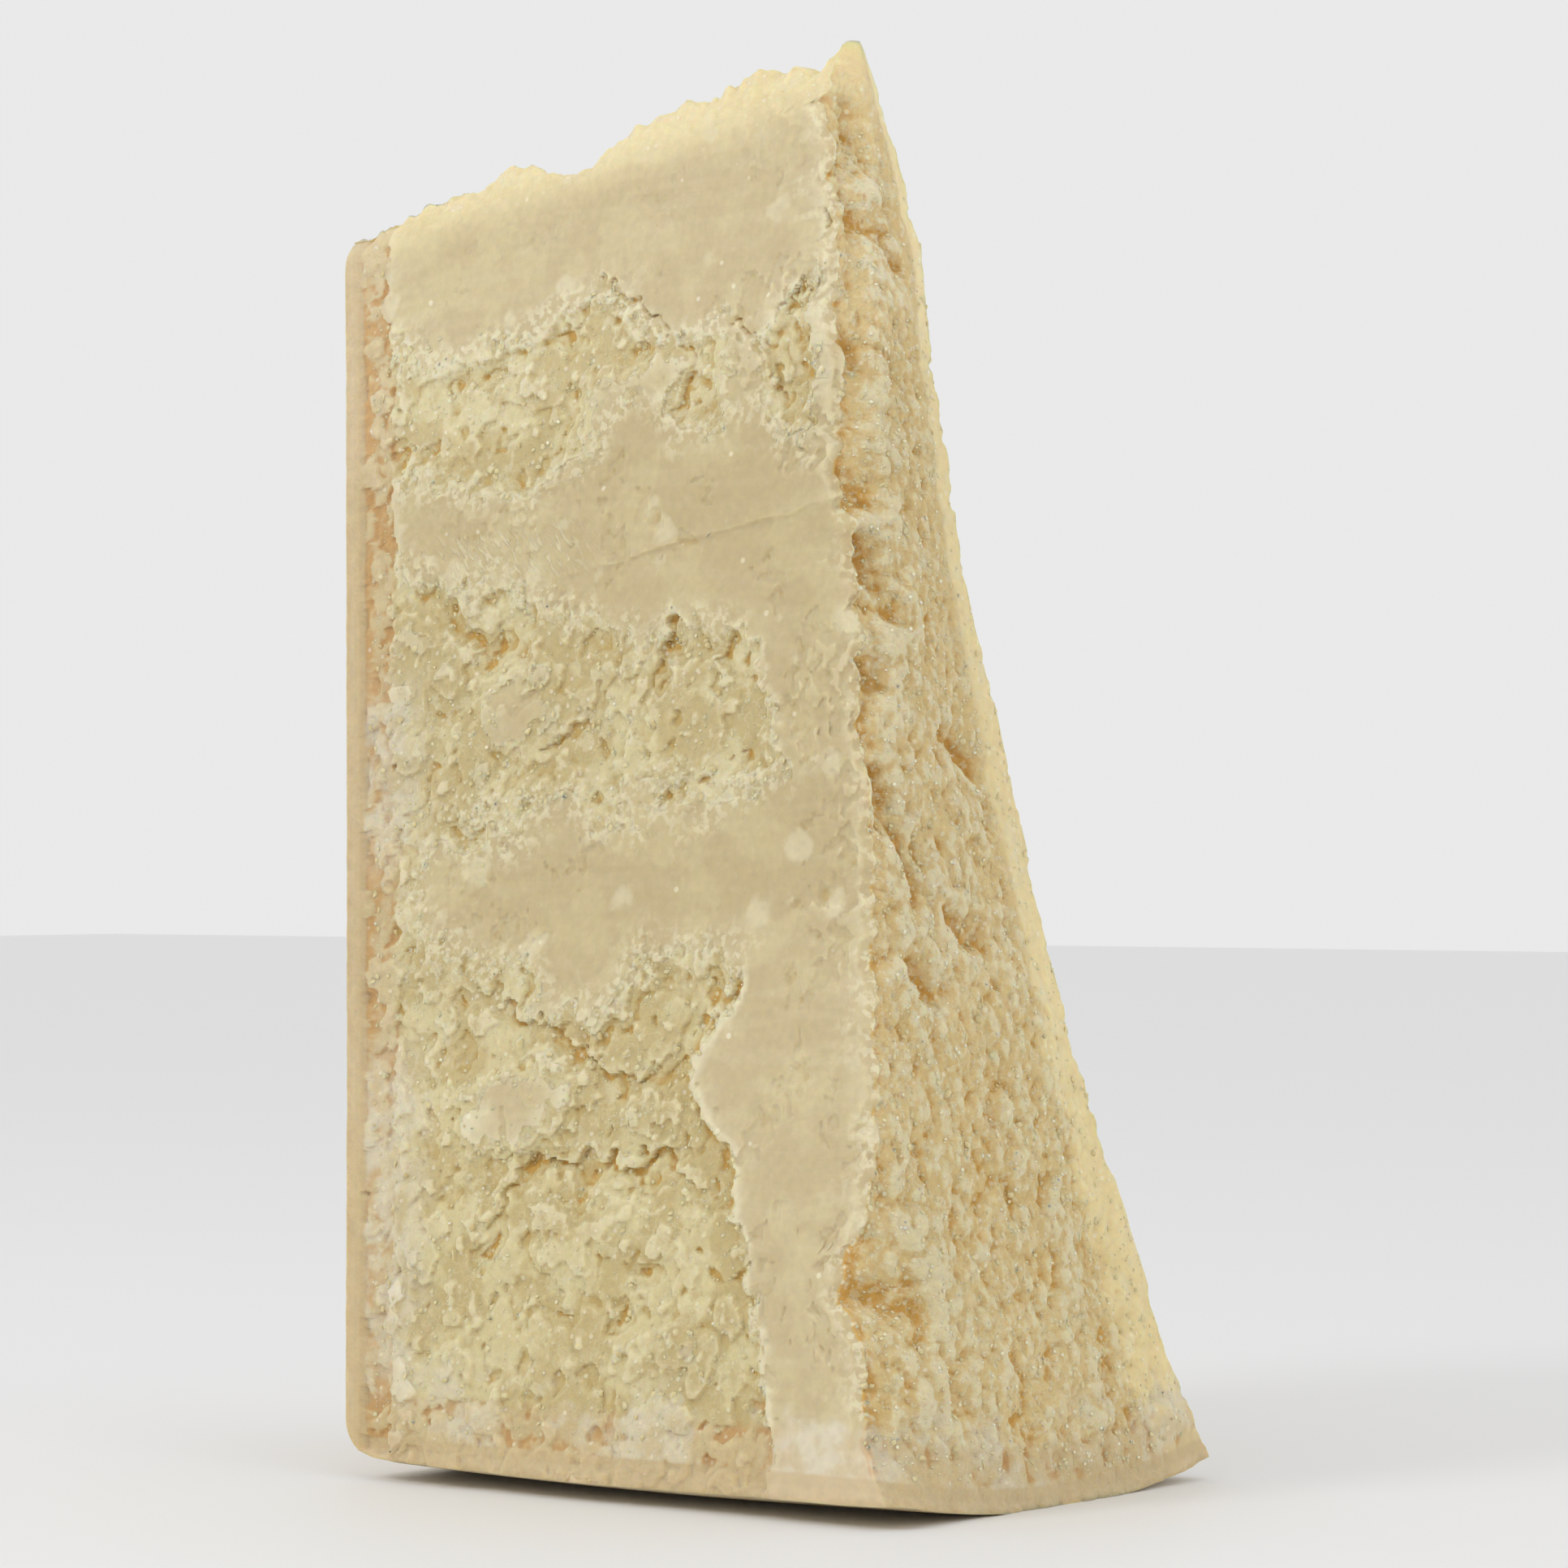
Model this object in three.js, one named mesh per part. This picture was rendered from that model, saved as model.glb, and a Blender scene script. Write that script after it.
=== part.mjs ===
// Parmesan wedge: a sixteenth of half a wheel, standing on its rind heel with the tip up.
//
// Millimetres, +Z up, origin in the middle of the flat spot that the heel rests on.
// The shape is worked out in the wheel's own frame and then tilted so that the heel lies level:
//   s runs along the wheel's axis, from the flat rind face (0) to the broken face (HALF_HEIGHT)
//   q runs straight out from the axis, from the tip (0) down to the heel (WHEEL_RADIUS)
//   y runs across the wedge, from the front cut (negative) to the back cut (positive)

import * as THREE from 'three';
import { mergeVertices } from 'three/addons/utils/BufferGeometryUtils.js';

const { clamp, degToRad, lerp, smoothstep } = THREE.MathUtils;

// The wheel that the wedge comes from
const WHEEL_RADIUS = 225;
const HALF_HEIGHT = 107;
const SIDE_TAPER = degToRad(9.8);
const SIDE_BULGE = 1.0;
const RIM_RADIUS = 6;
const RIND_DEPTH = 3.5;
const RIND_BORDER = 0.8;

// The two cuts, and how much thicker than a true sixteenth the blunt tip is in front
const HALF_ANGLE = degToRad(11.25);
const TIP_FRONT = 5;
const TIP_FRONT_AT_RIND = 1.5;
const TIP_FADE = 150;
const FLAT_SPOT_DEPTH = 1.4;

// Mesh fineness: cells along the axis, from tip to heel, across the wedge and round the rim
const AXIAL_CELLS = 25;
const RIM_CELLS = 3;
const RADIAL_CELLS = 57;
const CROSS_CELLS = 14;

// How many times the heel's distance is worked out anew from the cuts that it lies between
const REACH_PASSES = 4;

// Where the back cut lies on the broken face, as [q, y]: it bows in between tip and heel
const BACK_CUT = [[0, 1.5], [10, 4.4], [30, 9], [44, 7.6], [56, 8.2], [82, 7.8], [102, 11.6],
  [132, 15], [173, 24.4], [204, 34], [221, 42.5]];

// The crumbled tip line, as [s, q], and how far down its grain reaches
const TIP_LINE = [[0, 5], [20, 3.5], [31, 3.2], [36, 1.6], [39, 1.4], [44, 4.2], [48, 6], [53, 5.8],
  [57, 3.8], [62, 1.8], [71, 1.9], [73.5, 0], [75, -0.1], [77.5, 1.7], [80, 1.6], [82, -0.1],
  [88.5, -0.7], [92, 0.4], [97, 1.3], [101, 2.8], [104, 2.6], [105.8, 1.4], [107, -0.8]];
const TIP_REACH = 14;
const TIP_ROUNDED = 8;
const TIP_ROUNDING_FRONT = 2.2;
const TIP_ROUNDING_BACK = 1.2;
const TIP_SWELLS = [[3.4, 0.9]];
const TIP_CURDS = [[5, 0.7]];
const SHALLOW_TO = 30;
const SHALLOW_SHARE = 0.35;
const DEEPEST = 9;

// The front cut: borders of the stretches that the knife left smooth, as [s, q]
const TOP_SLAB_END = [[0, 22], [30, 27], [57, 26], [72, 37], [82, 37], [90, 42.5], [99, 38],
  [107, 24]];
const UPPER_BAND_START = [[0, 47], [30, 57], [51, 58], [61, 51], [72, 59], [87, 60], [102, 69]];
const UPPER_BAND_END = [[0, 60], [41, 70], [61, 80], [84, 82], [91, 110], [107, 110]];
const LOWER_BAND_START = [[14, 116], [20, 112], [61, 113], [81, 117], [107, 114]];
const LOWER_BAND_END = [[14, 116], [31, 124], [46, 132], [87, 133], [107, 135]];
// of the smooth slab at its lower corner, as [q, s], and of the smooth strip along its right edge
const CORNER_SLAB_SIDE = [[133, 88], [145, 76], [151, 71], [159, 72], [165, 78], [175, 78],
  [188, 82], [225, 86]];
const EDGE_STRIP_START = 101.5;
const EDGE_STRIP_END = 135;
const STEP_LINE = 71;
const RIND_PATCH_WIDTH = 10;
const LIP_START = 40;
const LIP_FULL = 52;

// How far each smooth stretch stands out from the cut
const TOP_SLAB_LEVEL = -0.2;
const UPPER_BAND_LEVEL = -0.7;
const UNDER_STEP_LEVEL = -0.95;
const LOWER_BAND_LEVEL = -1;
const CORNER_SLAB_LEVEL = -0.4;
const ELSEWHERE_LEVEL = -0.2;
const RIND_PATCH_LEVEL = -1.3;
const RIND_PATCH_CURDS = [[5, 0.9]];
const RIND_LEVEL = -0.5;

// How far the paste is lifted under the knife in a smooth stretch and along the right edge, and
// half the widths of the borders, from a gentle one to a sharp one
const KNIFE_LIFT = 3.8;
const EDGE_LIFT = 2.5;
const GENTLE_BORDER = 10;
const CRACKED_BORDER = 5;
const SLAB_BORDER = 2.5;
const SHARP_BORDER = 0.6;

// Where the back cut is smooth: waves as [size, height], and the waves' heights at its border
const BACK_SMOOTH = [[24, 1], [6, 0.25]];
const BACK_BORDER = [-0.1, 0.3];

// How far the broken paste lies behind each cut on the whole, how rough the break is, and how
// much its curds are drawn out from tip to heel
const FRONT_RECESS = 1.1;
const BACK_RECESS = 1.6;
const BREAK_RECESS = 0.4;
const BREAK_ROUGHNESS = 1;
const BREAK_STRETCH = 0.6;

// Broken paste: slow swells and packed curds, each as [size, height], and a curd's mean height
const SWELLS = [[26, 1], [11, 0.7]];
const CURDS = [[9, 1.2], [4.2, 0.8]];
const CURD_MEAN = 0.75;

// Waves that bend the borders on the front cut along the axis and outwards, as [size, height]
const BENDS_ALONG = [[7, 1.5], [2.6, 1]];
const BENDS_OUT = [[8, 2], [2.6, 1.3]];

// Ledges in the front cut, each a line of [s, q, drop]: the paste falls away on the right of the
// line's run, most of all at the line
const FRONT_LEDGES = [
  [[58, 29, 0], [60, 27, 0.9], [66, 34, 1.2], [72, 34.5, 2], [73.5, 39, 1.5], [71, 38, 0]],
  [[76, 36, 0], [72.5, 41, 1.4], [73, 46, 2.6], [71, 50, 2.3], [69, 53, 0]],
  [[93, 47, 0], [90, 50, 1.3], [91, 54, 2.3], [95, 57, 1.2], [98, 58, 0]],
  [[21, 74, 0], [25, 76, 1.7], [29.5, 80, 2.6], [27, 83, 1.2], [24, 84, 0]],
  [[76, 82, 0], [70.5, 84, 1.4], [65.5, 85.5, 2.5], [62, 90, 1.3], [60, 93, 0]],
  [[84, 84, 0], [81, 88, 1.5], [77.5, 91.5, 1.9], [74, 93, 0]],
  [[53, 88, 0], [51, 93, 1.6], [47.5, 97, 2], [43, 100, 1.5], [36, 100, 0]],
  [[84, 104, 0], [80, 109, 1.2], [71, 109, 1.5], [62, 112, 1.3], [56, 110, 0]],
  [[68, 149, 0], [61, 152, 1.7], [54, 151.5, 2.6], [48, 147, 2.6], [42, 142.5, 1.6],
    [36, 141, 2.3], [31, 135, 1.5], [25, 131, 0]],
  [[75, 173, 0], [70, 170, 2], [64, 164, 3], [57, 167, 3.5], [49, 165, 3.1], [42, 162, 3.2],
    [36, 163.5, 2.6], [30, 168, 2], [25, 172, 0]],
  [[14, 152, 0], [17, 160, 0.7], [20, 168, 0.9], [21, 178, 0.4], [20, 186, 0]],
  [[71, 183, 0], [63, 181, 0.6], [54, 187, 0.9], [49, 194, 0.6], [42, 198, 0]],
];
const LEDGE_FADE = 3.2;

// Lumps that stand out of the broken paste, as [s, q, half length, half height, how far out]
const FRONT_LUMPS = [
  [60, 45, 13, 9, 1],
  [84, 47, 9, 7, 0.7],
  [38, 90, 11, 8, 1.3],
  [71, 97, 13, 11, 1],
  [26, 103, 9, 7, 0.6],
  [49, 137, 17, 8, 1.2],
  [36, 153, 21, 9, 1.5],
  [62, 158, 9, 5, 0.9],
  [52, 176, 18, 8, 0.6],
  [95, 146, 9, 14, 0.9],
];
const LUMP_RIM = 0.9;
const LUMP_SHOULDER = 0.6;

// Pits in the broken face, as [y, q, y, q, half width, depth]
const BROKEN_PITS = [
  [-2, 10, -3, 17, 2.5, 2.8],
  [-5, 27, 1, 35, 2, 2.8],
  [-16, 55, -15, 72, 3, 4.4],
  [-14, 81, -11, 88, 3, 5],
  [-19, 96, -18, 101, 2.5, 4],
  [-3, 107, 3, 111, 2.5, 3.4],
  [-20, 114, -16, 133, 3, 3.4],
  [-8, 136, -2, 139, 2.5, 3.4],
  [-19, 141, -16, 147, 3, 4],
  [-37, 188, -30, 194, 5, 5.4],
];

// The thin rim of the break along the back cut, which stayed even
const RIM_WIDTH = [2, 9];
const RIM_EVEN = 0.2;

// How far back the break's front edge has crumbled, near the tip and lower down, and its corner
const BREAK_DEPTH = 24;
const EDGE_FALL_AT_TIP = 3.4;
const EDGE_FALL_BELOW = 1.6;
const EDGE_FALL_CHANGE = [85, 110];
const EDGE_FALL_WIDTH = 6;
const CORNER_BREAK = 3.4;
const CORNER_START = [160, 195];
const CORNER_END = [212, 222];
const CORNER_WIDTH = [2, 16];
const EDGE_ROUNDING = 0.7;
const EDGE_ROUNDED = 2;
const BREAK_RIND_SHARE = 0.8;

// Seeds, so that every wedge from this program is the same
const SEED = { bendAlong: 11, bendOut: 13, front: 20, rindPatch: 31, backSmooth: 41, back: 43,
  break: 60, tip: 81 };

const TAN_TAPER = Math.tan(SIDE_TAPER);
const FLAT_FACE_RADIUS = WHEEL_RADIUS - HALF_HEIGHT * TAN_TAPER;
const AXIS_HEIGHT = (FLAT_FACE_RADIUS + SIDE_BULGE) * Math.cos(SIDE_TAPER) - FLAT_SPOT_DEPTH;
const MIDDLE_RADIUS = FLAT_FACE_RADIUS + HALF_HEIGHT / 2 * TAN_TAPER;
const AXIS_START = -(HALF_HEIGHT / 2 * Math.cos(SIDE_TAPER) + MIDDLE_RADIUS * Math.sin(SIDE_TAPER));

// A repeatable number from 0 to 1 for each cell of a square lattice
function hash(column, row, seed) {
  let h = Math.imul(column, 374761393) ^ Math.imul(row, 668265263) ^ Math.imul(seed, 1274126177);
  h = Math.imul(h ^ (h >>> 13), 1103515245);
  h = Math.imul(h ^ (h >>> 15), 2246822519);
  h ^= h >>> 16;
  return (h >>> 0) / 2 ** 32;
}

// The place turned by an angle of the seed's own, so that no two lattices line up
function turned(u, v, seed) {
  return [u * Math.cos(seed) + v * Math.sin(seed), v * Math.cos(seed) - u * Math.sin(seed)];
}

// Smooth waves from -1 to 1 with crests about two sizes apart
function waves(along, out, size, seed) {
  const [u, v] = turned(along, out, seed);
  const column = Math.floor(u / size);
  const row = Math.floor(v / size);
  const across = smoothstep(u / size - column, 0, 1);
  const down = smoothstep(v / size - row, 0, 1);
  const upper = lerp(hash(column, row, seed), hash(column + 1, row, seed), across);
  const lower = lerp(hash(column, row + 1, seed), hash(column + 1, row + 1, seed), across);
  return 2 * lerp(upper, lower, down) - 1;
}

// Rounded curds packed side by side: 1 on each crown, falling to 0 where they part
function curds(along, out, size, seed) {
  const [u, v] = turned(along, out, seed);
  const column = Math.floor(u / size);
  const row = Math.floor(v / size);
  let nearest = 1;
  for (let i = column - 1; i <= column + 1; i++) {
    for (let j = row - 1; j <= row + 1; j++) {
      const du = u / size - i - hash(i, j, seed);
      const dv = v / size - j - hash(i, j, seed + 1);
      nearest = Math.min(nearest, du * du + dv * dv);
    }
  }
  return 1 - nearest;
}

// Waves of several sizes, laid over each other
function swells(layers, u, v, seed) {
  let height = 0;
  layers.forEach(([size, rise], i) => {
    height += rise * waves(u, v, size, seed + i);
  });
  return height;
}

// Curds of several sizes, above and below their mean
function packed(layers, u, v, seed) {
  let height = 0;
  layers.forEach(([size, rise], i) => {
    height += rise * (curds(u, v, size, seed + 2 * i) - CURD_MEAN);
  });
  return height;
}

function brokenPaste(u, v, seed) {
  return swells(SWELLS, u, v, seed) + packed(CURDS, u, v, seed + SWELLS.length);
}

// Height of a line given by its corner points, straight between them and level past its ends
function lineAt(points, x) {
  const last = points.length - 1;
  if (x <= points[0][0]) return points[0][1];
  if (x >= points[last][0]) return points[last][1];
  const next = points.findIndex((point) => point[0] > x);
  const [x0, y0] = points[next - 1];
  const [x1, y1] = points[next];
  return lerp(y0, y1, (x - x0) / (x1 - x0));
}

// 0 on one side of a border and 1 on the other
function past(distance, border) {
  return smoothstep(distance, -border, border);
}

// Where a place lies beside a straight run: share of the way along, distance and side
function beside(u, v, u0, v0, u1, v1) {
  const du = u1 - u0;
  const dv = v1 - v0;
  const share = clamp(((u - u0) * du + (v - v0) * dv) / (du * du + dv * dv), 0, 1);
  const distance = Math.hypot(u - u0 - share * du, v - v0 - share * dv);
  const side = ((u - u0) * dv - (v - v0) * du) / Math.hypot(du, dv);
  return { share, distance, side };
}

// The depth of a soft-edged groove along each listed run
function grooves(runs, u, v) {
  let depth = 0;
  for (const [u0, v0, u1, v1, halfWidth, deep] of runs) {
    const { distance } = beside(u, v, u0, v0, u1, v1);
    depth = Math.max(depth, deep * Math.exp(-((distance / halfWidth) ** 2)));
  }
  return depth;
}

// How far the paste lies back below each ledge: most at the line, less and less away from it
function ledges(lines, u, v) {
  let depth = 0;
  for (const line of lines) {
    let nearest = Infinity;
    let drop = 0;
    for (let i = 1; i < line.length; i++) {
      const [u0, v0, drop0] = line[i - 1];
      const [u1, v1, drop1] = line[i];
      const { share, distance, side } = beside(u, v, u0, v0, u1, v1);
      if (distance < nearest) {
        nearest = distance;
        drop = lerp(drop0, drop1, share) * past(side, SHARP_BORDER)
          * Math.exp(-distance / LEDGE_FADE);
      }
    }
    depth = Math.max(depth, drop);
  }
  return depth;
}

// How far the listed lumps stand out
function lumps(places, u, v) {
  let height = 0;
  for (const [u0, v0, length, rise, out] of places) {
    const share = 1 - ((u - u0) / length) ** 2 - ((v - v0) / rise) ** 2;
    const crown = lerp(LUMP_SHOULDER, 1, clamp(share, 0, 1));
    height = Math.max(height, out * crown * smoothstep(share, 0, LUMP_RIM));
  }
  return height;
}

// The front and back cuts without their relief
function frontCut(s, q) {
  const blunt = lerp(TIP_FRONT_AT_RIND, TIP_FRONT, s / HALF_HEIGHT);
  return -(q * Math.tan(HALF_ANGLE) + blunt * Math.max(0, 1 - q / TIP_FADE));
}

function backCut(s, q) {
  const straight = q * Math.tan(HALF_ANGLE) + BACK_CUT[0][1] * Math.max(0, 1 - q / TIP_FADE);
  return lerp(straight, lineAt(BACK_CUT, q), s / HALF_HEIGHT);
}

// 1 on the rind that the cuts show, 0 on the paste
function onRind(s, q) {
  const depth = Math.min(s, FLAT_FACE_RADIUS + s * TAN_TAPER - q);
  return 1 - smoothstep(depth, RIND_DEPTH - RIND_BORDER, RIND_DEPTH);
}

// Near the thin tip every crag is shallower, so that front and back never meet
function tipSlack(q) {
  return lerp(SHALLOW_SHARE, 1, smoothstep(q, 0, SHALLOW_TO));
}

function tipRounding(q, depth) {
  return depth * Math.max(0, 1 - q / TIP_ROUNDED) ** 2;
}

// Relief of the front cut: how far its surface stands out from frontCut, in -y. Where the paste
// would reach past a smooth stretch's level the knife has cut it flat; below it, it is broken.
function frontRelief(s, q) {
  const a = s + swells(BENDS_ALONG, s, q, SEED.bendAlong);
  const b = q + swells(BENDS_OUT, s, q, SEED.bendOut);
  const lipped = smoothstep(s, LIP_START, LIP_FULL);
  const belowTopSlab = b - lineAt(TOP_SLAB_END, a);
  const topSlab = past(-belowTopSlab, lerp(GENTLE_BORDER, CRACKED_BORDER, lipped));
  const upperBand = past(b - lineAt(UPPER_BAND_START, a), GENTLE_BORDER)
    * past(lineAt(UPPER_BAND_END, a) - b, GENTLE_BORDER);
  const lowerBand = past(b - lineAt(LOWER_BAND_START, a), GENTLE_BORDER)
    * past(lineAt(LOWER_BAND_END, a) - b, GENTLE_BORDER);
  const cornerSlab = past(b - CORNER_SLAB_SIDE[0][0], SHARP_BORDER)
    * past(a - lineAt(CORNER_SLAB_SIDE, b), SLAB_BORDER);
  const edgeStrip = past(a - EDGE_STRIP_START, SLAB_BORDER)
    * past(EDGE_STRIP_END - q, SHARP_BORDER);

  const upperLevel = lerp(UPPER_BAND_LEVEL, UNDER_STEP_LEVEL, past(q - STEP_LINE, SHARP_BORDER));
  let level = lerp(ELSEWHERE_LEVEL, upperLevel, upperBand);
  level = lerp(level, LOWER_BAND_LEVEL, lowerBand);
  level = lerp(level, CORNER_SLAB_LEVEL, cornerSlab);
  level = lerp(level, TOP_SLAB_LEVEL, topSlab);

  const broken = brokenPaste(s, q, SEED.front) - FRONT_RECESS
    + lumps(FRONT_LUMPS, a, b) - ledges(FRONT_LEDGES, a, b);
  const planed = Math.max(topSlab, upperBand, lowerBand, cornerSlab);
  const lift = Math.max(KNIFE_LIFT * planed, EDGE_LIFT * edgeStrip);
  const paste = Math.min(level, broken + lift);

  const rindPatch = RIND_PATCH_LEVEL + packed(RIND_PATCH_CURDS, s, q, SEED.rindPatch);
  const patched = lerp(rindPatch, paste, past(a - RIND_PATCH_WIDTH, SHARP_BORDER));
  const cut = Math.max(lerp(patched, RIND_LEVEL, onRind(s, q)), -DEEPEST);
  const edgeRounding = EDGE_ROUNDING * smoothstep(s, HALF_HEIGHT - EDGE_ROUNDED, HALF_HEIGHT);
  return cut * tipSlack(q) - tipRounding(q, TIP_ROUNDING_FRONT) - edgeRounding;
}

// Relief of the back cut: broken paste with a few smooth stretches, in +y
function backRelief(s, q) {
  const lift = KNIFE_LIFT * smoothstep(swells(BACK_SMOOTH, s, q, SEED.backSmooth), ...BACK_BORDER);
  const broken = brokenPaste(s, q, SEED.back) - BACK_RECESS;
  const paste = Math.min(CORNER_SLAB_LEVEL, broken + lift);
  const cut = Math.max(lerp(paste, RIND_LEVEL, onRind(s, q)), -DEEPEST);
  return cut * tipSlack(q) - tipRounding(q, TIP_ROUNDING_BACK);
}

// Relief of the broken face at mid-height, in +s, with its crumbled front edge
function breakRelief(y, q) {
  const fromFront = y - frontCut(HALF_HEIGHT, q);
  const edgeFall = lerp(EDGE_FALL_AT_TIP, EDGE_FALL_BELOW, smoothstep(q, ...EDGE_FALL_CHANGE));
  const edge = edgeFall * (1 - smoothstep(fromFront, 0, EDGE_FALL_WIDTH));
  const corner = CORNER_BREAK * smoothstep(q, ...CORNER_START)
    * (1 - smoothstep(q, ...CORNER_END)) * (1 - smoothstep(fromFront, ...CORNER_WIDTH));
  const rough = BREAK_ROUGHNESS * brokenPaste(y, q * BREAK_STRETCH, SEED.break)
    - grooves(BROKEN_PITS, y, q);
  const fromBack = backCut(HALF_HEIGHT, q) - y;
  const paste = lerp(RIM_EVEN, 1, smoothstep(fromBack, ...RIM_WIDTH)) * rough - BREAK_RECESS;
  const nearHeel = WHEEL_RADIUS - Math.hypot(y, q);
  const rind = BREAK_RIND_SHARE * (1 - smoothstep(nearHeel, RIND_DEPTH, 2 * RIND_DEPTH));
  return lerp(paste, RIND_LEVEL, rind) - edge - corner;
}

// Relief of the tip, upwards
function tipRelief(s, y) {
  return swells(TIP_SWELLS, s, y, SEED.tip) + packed(TIP_CURDS, s, y, SEED.tip + 1)
    - lineAt(TIP_LINE, s);
}

// Heel: the tapered, slightly bulging side of the wheel with its rounded rim
function heelRadius(s) {
  const share = s / HALF_HEIGHT;
  const side = FLAT_FACE_RADIUS + s * TAN_TAPER + 4 * SIDE_BULGE * share * (1 - share);
  const inRim = Math.max(0, RIM_RADIUS - s);
  return side - RIM_RADIUS + Math.sqrt(RIM_RADIUS ** 2 - inRim ** 2);
}

// How far out the surface that the wedge stands on lets the heel reach
function floorReach(s) {
  return (AXIS_HEIGHT + s * Math.sin(SIDE_TAPER)) / Math.cos(SIDE_TAPER);
}

// How far out the heel lies at a share of the way from the front cut to the back cut
function heelReach(s, acrossAt) {
  const radius = heelRadius(s);
  let reach = radius;
  for (let pass = 0; pass < REACH_PASSES; pass++) {
    reach = Math.sqrt(radius ** 2 - acrossAt(reach) ** 2);
  }
  return Math.min(reach, floorReach(s));
}

// A point of the wedge from its shares: s itself, from tip (0) to heel (1), front (0) to back (1)
function wedgePoint(s, outward, across) {
  const acrossAt = (q) => lerp(
    frontCut(s, q) - frontRelief(s, q), backCut(s, q) + backRelief(s, q), across);
  const q = outward * heelReach(s, acrossAt);
  const y = acrossAt(q);
  const nearBreak = smoothstep(s, HALF_HEIGHT - BREAK_DEPTH, HALF_HEIGHT);
  const nearTip = Math.max(0, 1 - q / TIP_REACH) ** 2;
  const sOut = s + breakRelief(y, q) * nearBreak;
  const qOut = Math.min(q - tipRelief(s, y) * nearTip, floorReach(sOut));
  return new THREE.Vector3(
    AXIS_START + sOut * Math.cos(SIDE_TAPER) + qOut * Math.sin(SIDE_TAPER),
    y,
    AXIS_HEIGHT + sOut * Math.sin(SIDE_TAPER) - qOut * Math.cos(SIDE_TAPER));
}

// Places along the axis: close together round the rim, then even up to the broken face
function axialPlaces() {
  const places = [];
  for (let i = 0; i < RIM_CELLS; i++) {
    places.push(RIM_RADIUS * (1 - Math.cos(i / RIM_CELLS * Math.PI / 2)));
  }
  for (let i = 0; i <= AXIAL_CELLS; i++) {
    places.push(lerp(RIM_RADIUS, HALF_HEIGHT, i / AXIAL_CELLS));
  }
  return places;
}

// A box of small cells, each corner of which is moved to its place on the wedge
function wedgeGeometry() {
  const places = axialPlaces();
  const axialCells = places.length - 1;
  const cells = new THREE.BoxGeometry(1, 1, 1, axialCells, CROSS_CELLS, RADIAL_CELLS);
  cells.deleteAttribute('normal');
  cells.deleteAttribute('uv');
  const position = cells.getAttribute('position');
  for (let i = 0; i < position.count; i++) {
    const s = places[Math.round((position.getX(i) + 0.5) * axialCells)];
    const point = wedgePoint(s, 0.5 - position.getZ(i), position.getY(i) + 0.5);
    position.setXYZ(i, point.x, point.y, point.z);
  }
  const geometry = mergeVertices(cells, 1e-4);
  geometry.computeVertexNormals();
  return geometry;
}

const paste = new THREE.MeshStandardMaterial({ color: 0xd8c899, roughness: 0.7, metalness: 0 });
const wedge = new THREE.Mesh(wedgeGeometry(), paste);
wedge.name = 'wedge';

const cheese = new THREE.Group();
cheese.add(wedge);

export default cheese;
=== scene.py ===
"""The looks of a tall parmesan wedge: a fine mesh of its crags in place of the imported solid, crumbs,
flakes and crystals on it, a procedural material, soft studio light and the photograph's view.

Lengths are in millimetres until a mesh is written, when they become metres. The wedge is worked out as
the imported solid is: s runs along the wheel's axis from the flat rind face, q from the tip down to the
heel, y across it."""

import math
from types import SimpleNamespace

import bpy
import numpy as np
from mathutils import Matrix, Vector


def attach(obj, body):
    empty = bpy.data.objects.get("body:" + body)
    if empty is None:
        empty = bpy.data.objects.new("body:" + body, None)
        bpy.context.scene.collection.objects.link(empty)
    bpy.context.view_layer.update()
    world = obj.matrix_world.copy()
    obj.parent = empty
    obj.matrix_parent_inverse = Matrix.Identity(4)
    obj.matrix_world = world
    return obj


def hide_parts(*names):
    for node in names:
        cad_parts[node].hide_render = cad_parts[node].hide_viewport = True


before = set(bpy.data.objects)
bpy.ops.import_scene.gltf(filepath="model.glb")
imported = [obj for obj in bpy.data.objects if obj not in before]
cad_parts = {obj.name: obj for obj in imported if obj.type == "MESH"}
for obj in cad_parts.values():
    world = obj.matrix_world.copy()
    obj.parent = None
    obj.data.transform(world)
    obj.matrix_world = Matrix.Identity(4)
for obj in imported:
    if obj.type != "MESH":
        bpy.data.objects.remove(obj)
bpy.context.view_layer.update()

MM = 0.001

# The wheel and the cut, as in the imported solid
WHEEL_RADIUS = 225.0
HALF_HEIGHT = 107.0
SIDE_TAPER = math.radians(9.8)
SIDE_BULGE = 1.0
RIM_RADIUS = 6.0
RIND_DEPTH = 3.5
RIND_BORDER = 0.8
HALF_ANGLE = math.radians(11.25)
TIP_FRONT = 5.0
TIP_FRONT_AT_RIND = 1.5
TIP_FADE = 150.0
TIP_ROUNDED = 8
TIP_ROUNDING_FRONT = 2.2
TIP_ROUNDING_BACK = 1.2
TIP_REACH = 14
SHALLOW_TO = 30
SHALLOW_SHARE = 0.35
DEEPEST = 9
FLAT_SPOT_DEPTH = 1.4

TAN_TAPER = math.tan(SIDE_TAPER)
FLAT_FACE_RADIUS = WHEEL_RADIUS - HALF_HEIGHT * TAN_TAPER
AXIS_HEIGHT = (FLAT_FACE_RADIUS + SIDE_BULGE) * math.cos(SIDE_TAPER) - FLAT_SPOT_DEPTH
MIDDLE_RADIUS = FLAT_FACE_RADIUS + HALF_HEIGHT / 2 * TAN_TAPER
AXIS_START = -(HALF_HEIGHT / 2 * math.cos(SIDE_TAPER) + MIDDLE_RADIUS * math.sin(SIDE_TAPER))

# Where the back cut lies on the broken face, as [q, y]
BACK_CUT = [[0, 1.5], [10, 4.4], [30, 9], [44, 7.6], [56, 8.2], [82, 7.8], [102, 11.6],
            [132, 15], [173, 24.4], [204, 34], [221, 42.5]]
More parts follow.
